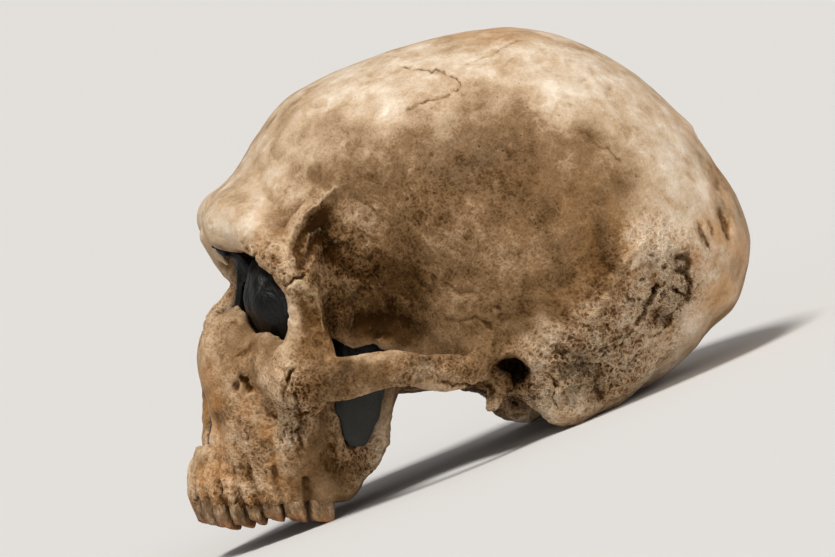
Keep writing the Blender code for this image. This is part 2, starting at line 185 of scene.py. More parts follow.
class Form:
    """A rounded solid: its signed distance and the box that holds it."""

    def __init__(self, distance, low, high):
        self.distance = distance
        self.low = np.array(low, float)
        self.high = np.array(high, float)


def egg(centre, radii, pitch=0.0, yaw=0.0, roll=0.0):
    """An ellipsoid. Pitch turns it about Y, yaw about Z and roll about X, in degrees."""
    turn = Euler([math.radians(a) for a in (roll, pitch, yaw)]).to_matrix()
    rows = np.array(turn.transposed(), np.float32)
    radii = np.array(radii, np.float32)
    reach = np.abs(np.array(turn)) @ radii

    def distance(x, y, z):
        near, steep = 0.0, 0.0
        for row, radius in zip(rows, radii):
            along = row[0] * (x - centre[0]) + row[1] * (y - centre[1]) + row[2] * (z - centre[2])
            near = near + (along / radius) ** 2
            steep = steep + (along / radius**2) ** 2
        near = np.sqrt(near)
        return near * (near - 1) / np.sqrt(steep + 1e-9)

    return Form(distance, np.array(centre) - reach, np.array(centre) + reach)


def rod(stations, squash=(1.0, 1.0, 1.0)):
    """A rod through stations (x, y, z, radius). Squash scales its section along X, Y and Z."""
    points = np.array([s[:3] for s in stations], float)
    radii = np.array([s[3] for s in stations], float)
    scale = np.array(squash, float)

    def distance(x, y, z):
        found = FAR
        for a, b, ra, rb in zip(points / scale, points[1:] / scale, radii, radii[1:]):
            run = b - a
            px, py, pz = x / scale[0] - a[0], y / scale[1] - a[1], z / scale[2] - a[2]
            t = np.clip((px * run[0] + py * run[1] + pz * run[2]) / (run @ run), 0, 1)
            away = (px - t * run[0]) ** 2 + (py - t * run[1]) ** 2 + (pz - t * run[2]) ** 2
            found = np.minimum(found, np.sqrt(away) - ra - t * (rb - ra))
        return found * scale.min()

    reach = radii[:, None] * scale
    return Form(distance, (points - reach).min(0), (points + reach).max(0))


def vault():
    """The braincase: the middle outline, closed sideways as a rounded egg."""
    outline = smooth_outline(VAULT_OUTLINE) - VAULT_CENTRE
    angle = np.arctan2(outline[:, 1], outline[:, 0])
    order = np.argsort(angle)
    radius = np.hypot(outline[:, 0], outline[:, 1])[order]
    angle = angle[order]

    def distance(x, y, z):
        across, up = x - VAULT_CENTRE[0], z - VAULT_CENTRE[1]
        reach = np.interp(np.arctan2(up, across), angle, radius, period=2 * math.pi)
        size = (np.hypot(across, up) / reach) ** VAULT_ROUNDNESS
        size = (size + (np.abs(y) / HALF_BREADTH) ** VAULT_ROUNDNESS) ** (1 / VAULT_ROUNDNESS)
        length = np.sqrt(across**2 + y**2 + up**2)
        return length * (1 - 1 / np.maximum(size, 0.05))

    return Form(distance, BLOCK_LOW, BLOCK_HIGH)


def surface_nodes(axes):
    """Geometry nodes that draw the surface where the depth stored on a grid of points is zero."""
    tree = bpy.data.node_groups.new("Clay surface", "GeometryNodeTree")
    for way in ("INPUT", "OUTPUT"):
        tree.interface.new_socket("Geometry", in_out=way, socket_type="NodeSocketGeometry")
    counts = [len(axis) for axis in axes]
    low = [float(axis[0]) * MM for axis in axes]
    high = [float(axis[-1]) * MM for axis in axes]
    step = [(b - a) / (n - 1) for a, b, n in zip(low, high, counts)]

    def vector_math(operation, incoming, value):
        node = tree.nodes.new("ShaderNodeVectorMath")
        node.operation = operation
        tree.links.new(incoming, node.inputs[0])
        if value:
            node.inputs[1].default_value = value
        return node

    place = tree.nodes.new("GeometryNodeInputPosition").outputs["Position"]
    place = vector_math("SUBTRACT", place, low).outputs["Vector"]
    place = vector_math("DIVIDE", place, step).outputs["Vector"]
    place = vector_math("ADD", place, (0.5, 0.5, 0.5)).outputs["Vector"]
    place = vector_math("FLOOR", place, None).outputs["Vector"]
    index = vector_math("DOT_PRODUCT", place, (counts[1] * counts[2], counts[2], 1)).outputs["Value"]
    depth = tree.nodes.new("GeometryNodeInputNamedAttribute")
    depth.data_type = "FLOAT"
    depth.inputs["Name"].default_value = DEPTH
    sample = tree.nodes.new("GeometryNodeSampleIndex")
    sample.data_type = "FLOAT"
    volume = tree.nodes.new("GeometryNodeVolumeCube")
    volume.inputs["Background"].default_value = -FAR * MM
    volume.inputs["Min"].default_value = low
    volume.inputs["Max"].default_value = high
    for letter, count in zip("XYZ", counts):
        volume.inputs["Resolution " + letter].default_value = count
    surface = tree.nodes.new("GeometryNodeVolumeToMesh")
    surface.inputs["Threshold"].default_value = 0
    surface.inputs["Adaptivity"].default_value = 0
    points = tree.nodes.new("NodeGroupInput").outputs["Geometry"]
    result = tree.nodes.new("NodeGroupOutput").inputs["Geometry"]
    tree.links.new(points, sample.inputs["Geometry"])
    tree.links.new(depth.outputs["Attribute"], sample.inputs["Value"])
    tree.links.new(index, sample.inputs["Index"])
    tree.links.new(sample.outputs["Value"], volume.inputs["Density"])
    tree.links.new(volume.outputs["Volume"], surface.inputs["Volume"])
    tree.links.new(surface.outputs["Mesh"], result)
    return tree


class Clay:
    """A block of clay: signed distances on a grid, to which forms are added and from which they are cut."""

    def __init__(self, low, high, step):
        self.axes = [np.arange(a, b + step, step, dtype=np.float32) for a, b in zip(low, high)]
        self.distance = np.full([len(a) for a in self.axes], FAR, np.float32)

    def window(self, form, margin):
        """The part of the grid that the form reaches, and the coordinates there."""
        cut = []
        for axis, low, high in zip(self.axes, form.low - margin, form.high + margin):
            cut.append(slice(np.searchsorted(axis, low), np.searchsorted(axis, high)))
        x, y, z = (axis[c] for axis, c in zip(self.axes, cut))
        return tuple(cut), x[:, None, None], y[None, :, None], z[None, None, :]

    def add(self, form, blend=0.0):
        at, x, y, z = self.window(form, REACH + blend)
        self.distance[at] = smooth_least(self.distance[at], form.distance(x, y, z), blend)

    def cut(self, form, blend=0.0):
        at, x, y, z = self.window(form, REACH + blend)
        self.distance[at] = -smooth_least(-self.distance[at], form.distance(x, y, z), blend)

    def points(self):
        """The places of the grid, in the order of its distances."""
        grid = np.meshgrid(*self.axes, indexing="ij")
        return np.stack([g.ravel() for g in grid], axis=1)

    def take(self, distance):
        """Takes new distances at all its points."""
        self.distance = distance.reshape(self.distance.shape).astype(np.float32)

    def unfold(self):
        """Mirrors the block across the middle plane, where its first layer lies."""
        self.distance = np.concatenate([self.distance[:, :0:-1], self.distance], axis=1)
        self.axes[1] = np.concatenate([-self.axes[1][:0:-1], self.axes[1]])

    def mesh(self):
        """The surface of the clay, as a mesh in metres."""
        points = bpy.data.meshes.new("clay points")
        points.vertices.add(self.distance.size)
        depth = points.attributes.new(DEPTH, "FLOAT", "POINT")
        depth.data.foreach_set("value", (-self.distance * MM).ravel())
        cloud = bpy.data.objects.new("clay points", points)
        bpy.context.scene.collection.objects.link(cloud)
        surface = cloud.modifiers.new("Surface", "NODES")
        surface.node_group = surface_nodes(self.axes)
        mesh = evaluated_mesh(cloud)
        bpy.data.objects.remove(cloud)
        return mesh


def smooth_least(a, b, blend):
    """The smaller of two distances, with the corner between them rounded over the blend."""
    least = np.minimum(a, b)
    if blend <= 0:
        return least
    corner = np.maximum(blend - np.abs(a - b), 0) / blend
    return least - corner**2 * blend / 4


def arch_point(along, inset=0.0):
    """The point (x, y) of the tooth arch at a distance along it from the middle of the front, and the
    arch's whole length."""
    steps = np.linspace(0, math.pi / 2, 60)
    x = ARCH_CENTRE - (ARCH_DEPTH - inset) * np.cos(steps)
    y = (ARCH_HALF_WIDTH - inset) * np.sin(steps)
    x, y = np.append(x, ARCH_END), np.append(y, y[-1])
    length = np.append(0, np.cumsum(np.hypot(np.diff(x), np.diff(y))))
    return float(np.interp(along, length, x)), float(np.interp(along, length, y)), float(length[-1])


def arch_turn(along):
    """The point (x, y) of the tooth arch at a distance along it, and the turn of the arch there."""
    x, y, _ = arch_point(along)
    ahead = arch_point(along + 0.5)
    return x, y, math.atan2(ahead[1] - y, ahead[0] - x)


def front_share(x):
    """One at the front teeth, falling to nothing at the molars."""
    return min(1.0, max(0.0, (FRONT_SHARE_START - x) / FRONT_SHARE_REACH))


def arch_rod(level, radius, inset, rise, slimming):
    """A rod along half the tooth arch, which rises and slims towards the front teeth."""
    whole = arch_point(0, inset)[2]
    stations = []
    for number in range(ARCH_STATIONS):
        x, y, _ = arch_point(whole * number / (ARCH_STATIONS - 1), inset)
        stations.append((x, y, level + rise * front_share(x), radius - slimming * front_share(x)))
    return rod(stations)


def tooth_place(tooth):
    """The middle of a right tooth, as x and y, and the turn of the arch there."""
    before = sum(other.width for other in TEETH[: TEETH.index(tooth)])
    return arch_turn(before + tooth.width / 2)


def root_lean(tooth, z):
    """How far back a tooth stands at a level: forward at the end of its root, back at its tip."""
    return tooth.lean * (0.4 - min(1.0, (z - tooth.tip) / (GUM_LEVEL + ROOT_DEPTH - tooth.tip)))


def shape_vault(clay):
    """The braincase with the side walls over the ears, the occiput's ridge and its lower bulges."""
    side_wall = egg((14, 52, 18), (40, 17, 24), pitch=-4)
    lower_bulge = egg((55, 25, 13), (27, 22, 14.5), pitch=-41)
    occiput_ridge = egg((84, 0, 28), (8, 36, 6), pitch=-20)
    temple_hollow = egg((-58, 70, 42), (20, 21, 34))
    brow_hollow = egg((-68, 60, 46), (9, 9, 17), pitch=12)
    clay.add(vault())
    clay.add(side_wall, 14)
    clay.add(lower_bulge, 10)
    clay.add(occiput_ridge, 8)
    clay.cut(temple_hollow, 14)
    clay.cut(brow_hollow, 6)


def shape_base(clay):
    """The floor of the skull between the ears, with the mastoids and condyles."""
    middle = egg((-18, 0, 3), (34, 17, 10), pitch=-12)
    ear_floor = egg((2, 38, 2), (28, 26, 9))
    mastoid = egg((22, 54, -6), (13.5, 9, 14.5), pitch=-8)
    inner_ridge = egg((30, 40, -8), (13, 4, 8), pitch=16)
    nape_side = egg((36, 46, -3), (18, 10, 11), pitch=-20)
    condyle = egg((12.5, 15, -11), (8.5, 6, 8), yaw=-15)
    clay.add(middle, 8)
    clay.add(ear_floor, 8)
    clay.add(mastoid, 9)
    clay.add(inner_ridge, 4)
    clay.add(nape_side, 9)
    clay.add(condyle, 3)


def shape_brow(clay):
    """The brow ridge, from between the eyes to the outer corner of the orbit, and the temporal crest."""
    ridge = [
        (-93.5, 0, 54, 9), (-96, 10, 56.5, 10), (-95.5, 21, 57, 10.5), (-92.5, 32, 54.5, 10),
        (-89, 42, 49.5, 9), (-85.5, 49.5, 43, 7.5), (-81.5, 55, 37, 5.5), (-78.5, 57, 32, 4.6),
    ]
    crest = [
        (-82, 55, 38, 3.2), (-80.7, 53, 47.6, 3.4), (-77.4, 51, 54, 3.4), (-73.6, 50, 58.5, 3.2),
        (-69.4, 49.2, 62.2, 2.6), (-60, 47.2, 70, 2.0), (-50, 45, 78, 1.2),
    ]
    nose_root = rod([(-97.5, 0, 49, 8), (-92.5, 0, 41, 7.5), (-85, 0, 36, 8)], (1, 1.25, 1))
    furrow = egg((-107, 0, 52), (4.5, 3, 16), pitch=6)
    clay.add(rod(ridge), 9)
    clay.add(nose_root, 6)
    clay.cut(furrow, 4)
    clay.add(rod(crest), 3.5)


def shape_upper_jaw(clay):
    """The upper jaw with its alveolar arch, the nasal margins and the plates behind it."""
    front_wall = egg((-88, 19, -8), (15, 13, 30), pitch=4)
    side_wall = egg((-79, 27, -14), (22, 11, 30))
    back_wall = egg((-63, 25, -30), (11, 11, 17))
    last_socket = rod([(-66, 33, -42.5, 6), (-61, 32, -42.5, 4.6)])
    last_root = rod([(-64.5, 33.8, -45, 4.4), (-67.5, 33.4, -37, 4)])
    nasal_margin = [(-99, 15, -25, 5.5), (-97.5, 15, -15, 4.3), (-98, 15, -6, 5.2), (-98.5, 13, 8, 5.2)]
    outer_plate = [(-39, 25, -3, 3), (-42.6, 25, -18, 3.2), (-46, 25, -29, 5.0), (-55.5, 26, -40, 4.6)]
    inner_plate = [(-36, 15, -3, 3), (-42, 15, -22, 2.4), (-50, 17, -36, 3)]
    margin_edge = [(-99.5, 14, -12, 2.6), (-101.8, 11, -20, 2.8), (-101.5, 12, -26, 3)]
    clay.add(arch_rod(-32.0, 7.0, inset=2.0, rise=-3, slimming=1.2), 3)
    clay.add(arch_rod(-42.0, 6.6, inset=1.5, rise=2.6, slimming=1.9), 4)
    clay.add(front_wall, 8)
    clay.add(side_wall, 10)
    clay.add(back_wall, 6)
    clay.add(last_socket, 4)
    clay.add(last_root, 3)
    clay.add(rod(nasal_margin), 5)
    clay.add(rod(outer_plate, (1, 0.6, 1)), 4)
    clay.add(rod(inner_plate), 4)
    clay.add(rod(margin_edge), 2)


def shape_cheek(clay):
    """The cheekbone with its upright process, the arch to the ear and the wall behind the orbit."""
    cheekbone = rod([(-94, 22, 2, 9), (-87, 38, 2.5, 9), (-78, 52, 1, 10.5)])
    corner = egg((-76, 53.5, -3), (12, 7.5, 11))
    buttress = rod([(-78, 50, -8, 7), (-76, 44, -18, 7), (-75, 38, -30, 7)])
    temple_floor = [(-40, 42, 17, 4), (-33, 43.5, 16, 4.5), (-20, 47, 14, 5.5), (-8, 52, 12, 6)]
    upright = [(-77, 57, 33, 4.0), (-75, 58.5, 23, 4.3), (-74, 57.5, 9, 7)]
    flange = [
        (-76, 55, 36, 2.2), (-73.8, 56.5, 29.6, 2.4), (-72.6, 57.5, 22, 2.6), (-72, 58.5, 15, 3),
        (-69, 60.5, 9.5, 3.2),
    ]
    arch = [
        (-74, 59, -2, 9), (-67.5, 63, -3, 8), (-61, 67, -3.5, 7), (-53, 70, -1, 6.6),
        (-46, 72, 0.6, 6.4), (-38, 72.5, 0, 5.9), (-31, 71.5, -1.3, 5.5), (-24, 70, -1.6, 5.8),
        (-18, 68, -0.6, 5.7), (-9, 65, 3, 6), (4, 65, 8, 4), (20, 64, 11, 3),
    ]
    arch_edge = [
        (-66, 63.5, 3.2, 1.6), (-55, 69.5, 5, 1.6), (-44, 72.5, 6.2, 1.6), (-33, 72, 4, 1.5),
        (-20, 68.5, 4.6, 1.6),
    ]
    orbit_wall = [(-78, 54.5, 34, 3.2), (-67, 49, 32, 3.4), (-56, 44, 30, 4.0), (-45, 42, 32, 4)]
    clay.add(cheekbone, 8)
    clay.add(corner, 7)
    clay.add(buttress, 8)
    clay.add(rod(temple_floor, (1, 1, 2.4)), 4)
    clay.add(rod(upright, (1.15, 0.72, 1)), 5)
    clay.add(rod(flange, (1, 0.7, 1)), 3)
    clay.add(rod(arch, (1, 0.5, 1)), 4)
    clay.add(rod(arch_edge), 1.5)
    clay.add(rod(orbit_wall, (1, 1, 5.4)), 5)


def root_grooves():
    """The grooves between the tooth roots of the right side."""
    grooves, along = [], 0.0
    for tooth, after in zip(TEETH, TEETH[1:]):
        along += tooth.width
        x, y, turn = arch_turn(along)
        stations = []
        for z, push, radius in ROOT_GROOVE:
            lean = 0.5 * (root_lean(tooth, z) + root_lean(after, z))
            push = push - FRONT_SETBACK * front_share(x)
            stations.append((x - math.sin(turn) * push + lean, y + math.cos(turn) * push, z, radius))
        grooves.append(rod(stations))
    return grooves


def shape_roots(clay):
    """Ridges of bone over the tooth roots, reaching down over the necks of the crowns, and the grooves
    between them."""
    for tooth in TEETH:
        x, y, turn = tooth_place(tooth)
        c, s = math.cos(turn), math.sin(turn)
        places, slimness = ((0.0,), 1.0) if tooth.columns == 1 else (MOLAR_RIDGES, MOLAR_SLIMNESS)
        for aside in places:
            stations = []
            for rise, push, share in ROOT_RIDGE:
                z = GUM_LEVEL - tooth.cover + rise
                along = aside * tooth.width
                push = push - FRONT_SETBACK * front_share(x)
                ridge_x = x - s * push + c * along + root_lean(tooth, z)
                ridge_y = y + c * push + s * along
                stations.append((ridge_x, ridge_y, z, tooth.width * share * slimness))
            clay.add(rod(stations), 1.0)
    for between in root_grooves():
        clay.cut(between, 0.8)


def hollow_out(clay):
    """Cuts the orbits, the nose, the palate, the ears and the braincase's hollow, open below."""
    orbit = egg((-83.5, 33.5, 28), (30, 21, 17), yaw=-22, roll=-12)
    nose = [(-92, 0, 37, 5), (-97, 0, 22, 7.5), (-100, 0, 4, 11), (-100, 0, -16, 13.5), (-99, 0, -22, 9)]
    mouth = egg((-66, 0, -52), (34, 20, 17))
    mouth_roof = egg((-80, 0, -33), (28, 24, 3.2))
    ear = [(-1.5, 76, -0.7, 9), (0.5, 65, -0.7, 6.8), (4, 50, 1, 5), (5, 44, 2, 4.4)]
    jaw_joint = egg((-16, 56, -7), (8, 10, 6))
    opening_below = rod([(33, 0, 14, 16), (30, 0, -26, 16)], (1.1, 0.95, 1))
    clay.cut(orbit, 3)
    clay.cut(rod(nose, (2.2, 1, 1)), 3)
    clay.cut(mouth, 4)
    clay.add(mouth_roof, 2)
    clay.cut(rod(ear, (1.15, 1, 0.9)), 1.5)
    clay.cut(jaw_joint, 4)
    clay.cut(egg(*BRAIN_HOLLOW))
    clay.cut(opening_below, 3)


def shape_left_side(clay):
    """What only the left side shows: a swollen brow and jaw, a spur before the ear, a hollow beside the
    condyle and the loss of the upright between nose and orbit, of which a stump is left."""
    brow_swell = egg((-99, -21, 54), (10, 12, 9))
    jaw_swell = egg((-96.5, -19, 3), (13.6, 13.6, 16), pitch=-15)
    stump = rod([(-99, -15, 11, 8), (-96.5, -14.5, 16.5, 6), (-94.5, -13, 21.8, 2.8)])
    lost_upright = rod([(-93, -16, 39, 5), (-88, -15, 33, 9), (-84, -14, 22, 9)])
    under_brow = [
        (-106.3, -13, 47.2, 0.8), (-100.4, -13, 44.6, 2.2), (-96.5, -13, 42.4, 3.4),
        (-92.5, -15, 39.4, 5.2), (-88.4, -18, 35, 8),
    ]
    orbit_floor = egg((-83.5, -27, 21.5), (9.5, 15, 10.5))
    spur = rod([(-2.5, -56, -3, 4), (-4.5, -57.5, -9, 2.8), (-6, -58, -13.4, 1.8)])
    condyle_hollow = egg((10.6, -26, -11.5), (7.4, 9, 5), pitch=-10)
    orbit_rim = rod([(-88, -45, 11.5, 3), (-91, -36, 11, 3)])
    jaw_back = egg((-54.5, -38, -20.5), (5, 10, 9))
    clay.add(brow_swell, 5)
    clay.add(jaw_swell, 11)
    clay.add(stump, 4)
    clay.cut(lost_upright, 1.5)
    clay.cut(rod(under_brow, (1, 3, 1)), 0.8)
    clay.cut(orbit_floor, 2)
    clay.add(spur, 3)
    clay.cut(condyle_hollow, 0.8)
    clay.add(orbit_rim, 4)
    clay.cut(jaw_back, 2)


def shape_right_side(clay):
    """What only the right side shows: the upright between nose and orbit with two strips under the brow,
    a notch in the nose's lower margin and a flatter jaw."""
    upright = [
        (-99.5, 13, 8, 5), (-100, 13, 18, 4), (-94.5, 11.5, 26, 3.4), (-88.6, 10, 33, 3.2),
        (-86, 8, 40, 5),
    ]
    nose_notch = egg((-105, 1, -32), (6, 4.5, 4.5))
    flat_jaw = egg((-106.6, 17, -12), (5, 12, 8))
    brow_strip = rod([(-102.3, 9, 50, 4), (-98.8, 9, 43, 3.6), (-95, 9, 37, 3)])
    thin_strip = rod([(-92, 9, 40, 3), (-93, 9.5, 34.5, 1.8), (-91, 10, 30, 2.4)])
    clay.add(rod(upright), 3)
    clay.cut(nose_notch, 1.5)
    clay.cut(flat_jaw, 2)
    clay.add(brow_strip, 3)
    clay.add(thin_strip, 2)


# What marks the left side, read from the photograph: the pixels of a path, its half width and its depth. A
# mark of negative depth stands out
STROKES = {
    "crack over the vault": (
        ((396, 69), (420, 70), (441, 75), (454, 80), (460, 88), (458, 94), (451, 98), (434, 102),
         (415, 108)), 0.5, 0.7,
    ),
    "its branch to the crown": (((460, 71), (476, 63), (494, 55), (508, 47), (523, 41)), 0.4, 0.5),
    "small crack behind the branch": (((500, 70), (512, 62), (528, 57), (545, 50)), 0.3, 0.35),
    "cracks on the crown": (((470, 95), (486, 88), (500, 84)), 0.3, 0.3),
    "coronal crack": (((322, 161), (320, 172), (321, 183), (319, 194), (321, 206)), 0.35, 0.4),
    "stepped suture beside the orbit": (
        ((287, 284), (292, 283), (296, 277), (302, 277), (308, 273)), 0.6, 1.3,
    ),
    "ledge under the suture": (((286, 289), (293, 288), (299, 282), (306, 281)), 0.6, -0.5),
    "deep crack at the back": (
        ((656, 283), (651, 290), (649, 298), (643, 305), (641, 313), (636, 324)), 0.8, 1.6,
    ),
    "crack to the mastoid": (((636, 324), (626, 332), (618, 344), (606, 350), (598, 360)), 0.5, 0.9),
    "crack across the nape": (((690, 300), (676, 306), (668, 316), (660, 330), (646, 338)), 0.45, 0.8),
    "parietal cracks": (((593, 143), (600, 149), (606, 150), (611, 157), (619, 165)), 0.35, 0.5),
    "parietal blotch": (((575, 135), (584, 134), (592, 139)), 0.5, 0.5),
    "cheek crack": (((262, 340), (268, 352), (277, 359), (285, 366), (290, 380), (296, 392)), 0.3, 0.35),
    "lower cheek crack": (((296, 392), (300, 404), (304, 418), (299, 430), (306, 446)), 0.45, 0.8),
    "jaw crack": (((238, 404), (244, 412), (242, 424), (250, 436), (248, 448)), 0.35, 0.5),
    "second jaw crack": (((262, 400), (270, 414), (284, 420), (290, 434)), 0.35, 0.5),
    "arch suture": (((415, 357), (411, 364), (414, 372), (408, 380), (411, 388)), 0.4, 0.5),
    "chip under the arch": (((440, 378), (452, 382), (464, 380), (476, 386)), 0.6, 0.9),
    "rim of the scarred bone": (
        ((645, 236), (632, 254), (616, 268), (609, 286), (598, 306), (588, 320)), 1.4, -0.7,
    ),
    "arm of the deep pit": (((683, 268), (687, 283), (687, 298)), 1.0, 2.0),
    "hook of the deep pit": (((687, 299), (677, 294), (667, 286)), 0.8, 1.5),
    "flake in the deep pit": (((672, 266), (680, 262), (683, 272)), 0.5, -1.2),
    "edge of the long pit": (((725, 206), (731, 222), (733, 242)), 0.5, -0.7),
    "chip beside the long pit": (((693, 221), (699, 234), (708, 251)), 0.9, 1.0),
    "second chip beside it": (((703, 217), (708, 229), (712, 242)), 0.7, 0.8),
    "rim of the round scar": (((672, 306), (675, 318), (668, 328), (656, 331)), 0.6, -0.8),
    "first ridge on the mastoid": (((545, 366), (556, 378), (570, 392), (580, 402)), 0.5, -0.6),
    "second ridge on the mastoid": (((580, 366), (567, 380), (556, 396)), 0.5, -0.6),
    "third ridge on the mastoid": (((548, 388), (566, 386), (586, 379)), 0.45, -0.5),
    "parietal scratch": (((640, 190), (648, 205), (655, 212), (652, 226)), 0.3, 0.3),
    "notch before the ear": (((484, 380), (492, 390), (488, 398)), 0.6, 1.1),
    "rim over the ear": (((490, 362), (498, 354), (512, 352), (524, 358), (531, 368)), 1.2, -0.5),
    "rim under the ear": (((494, 386), (504, 392), (516, 392), (526, 386)), 0.9, -0.5),
    "groove behind the mastoid": (((600, 366), (592, 380), (598, 394)), 0.9, 0.9),
    "mastoid crack": (((548, 372), (556, 384), (552, 398), (560, 410)), 0.4, 0.7),
    "mastoid ridge": (((536, 392), (548, 408), (566, 414), (584, 408)), 1.2, -0.6),
    "rim of the brow": (((208, 241), (223, 245), (244, 253), (263, 270), (282, 285)), 1.0, -0.7),
    "temporal crest": (
        ((289, 262), (291, 243), (299, 226), (309, 214), (320, 204), (333, 192)), 1.0, -0.5,
    ),
    "hollow behind the crest": (((300, 272), (298, 250), (305, 234), (317, 221), (330, 212)), 1.6, 1.3),
    "second hollow behind the crest": (((309, 262), (313, 248), (322, 238)), 1.4, 1.2),
    "ridge in the hollow": (((303, 280), (312, 292), (322, 296), (332, 290)), 1.0, -0.9),
    "ridge behind the hollow": (((318, 262), (330, 276), (346, 284), (362, 300), (372, 318)), 1.6, -0.5),
    "temple line": (((420, 205), (430, 222), (426, 240), (436, 256)), 0.6, -0.35),
    "second temple line": (((436, 230), (452, 236), (462, 228)), 0.5, -0.3),
    "third temple line": (((352, 196), (368, 204), (380, 220)), 0.5, 0.5),
    "rim of the orbit": (((289, 300), (289, 315), (285, 330), (276, 339)), 1.0, -0.7),
    "edge of the upright": (((312, 284), (320, 300), (322, 318), (328, 334)), 1.0, -0.8),
    "hollow of the upright": (((304, 300), (308, 318), (310, 336)), 2.2, 0.9),
    "lower edge of the cheekbone": (((318, 403), (330, 403), (346, 399)), 1.0, -0.5),
    "ridge down to the teeth": (((296, 396), (288, 410), (280, 430), (278, 452)), 1.8, -0.8),
    "hollow behind that ridge": (((306, 414), (302, 436), (300, 460)), 2.2, 0.5),
    "margin of the lost nose": (((226, 312), (212, 326), (204, 340)), 1.2, -0.6),
    "canine ridge": (((214, 400), (212, 424), (208, 446), (206, 466)), 2.2, -0.9),
    "plate edge": (((391, 412), (387, 425), (383, 446), (375, 460), (364, 476), (357, 487)), 0.8, -0.9),
    "furrow under the orbit": (((257, 338), (252, 347), (243, 354), (234, 358)), 0.9, 0.7),
    "pillar of the jaw": (((262, 372), (266, 394), (258, 414), (262, 432)), 2.0, -0.9),
    "furrow of the cheek": (((291, 374), (285, 394), (292, 408), (288, 424)), 0.8, 0.8),
    "ridge of the jaw": (((230, 420), (245, 434), (254, 452)), 1.2, -0.6),
    "hollow of the jaw": (((270, 440), (276, 462), (272, 480)), 2.2, 0.35),
    "back margin of the jaw": (((338, 410), (340, 436), (340, 462), (334, 486)), 0.9, -0.4),
    "front of the boss": (((335, 276), (343, 285), (350, 298), (352, 316), (348, 330)), 0.8, -0.3),
    "top of the boss": (((345, 283), (360, 281), (374, 292), (384, 308), (386, 328)), 0.9, -0.35),
    "groove round the boss": (((352, 276), (368, 278), (384, 290), (393, 308), (394, 326)), 0.8, 0.5),
    "streak behind the boss": (((396, 286), (398, 302), (396, 318), (400, 334)), 0.5, -0.2),
    "temple fold": (((334, 244), (346, 238), (356, 226), (362, 212)), 0.8, -0.5),
    "second temple fold": (((352, 262), (366, 256), (380, 244)), 0.8, -0.5),
    "third temple fold": (((398, 246), (410, 262), (416, 280), (430, 292)), 0.7, 0.5),
    "fourth temple fold": (((440, 280), (456, 292), (470, 290), (484, 302)), 0.7, 0.5),
    "line over the arch": (((440, 316), (456, 322), (474, 318), (490, 328)), 0.6, 0.5),
    "notch over the gap": (((372, 340), (384, 332), (392, 340)), 0.8, 0.8),
    "web on the mastoid": (((540, 350), (552, 360), (560, 356), (574, 362), (590, 354)), 0.5, -0.5),
    "second web on the mastoid": (((566, 340), (572, 352), (584, 356), (596, 344)), 0.5, -0.5),
    "third web on the mastoid": (((600, 330), (612, 336), (618, 328), (630, 318)), 0.5, -0.5),
}

# Its ledges: the pixels of the edge, how far the drop on its right reaches, and the drop
LEDGES = {
    "temporal crest": (
        ((290, 262), (291, 243), (299, 226), (309, 214), (322, 203), (336, 192), (350, 184)), 7, 1.3,
    ),
    "edge of the scarred bone": (
        ((674, 262), (668, 278), (660, 286), (652, 292), (649, 300), (642, 308), (636, 322),
         (622, 334), (610, 348), (598, 360)), 9, 1.1,
    ),
    "upper edge of the flat brow": (((238, 224), (252, 231), (268, 241), (284, 249), (297, 262)), 5, 0.5),
    "upper edge of the arch": (
        ((340, 361), (352, 360), (367, 352), (384, 349), (402, 351), (425, 358), (452, 358)), 3, 0.5,
    ),
}

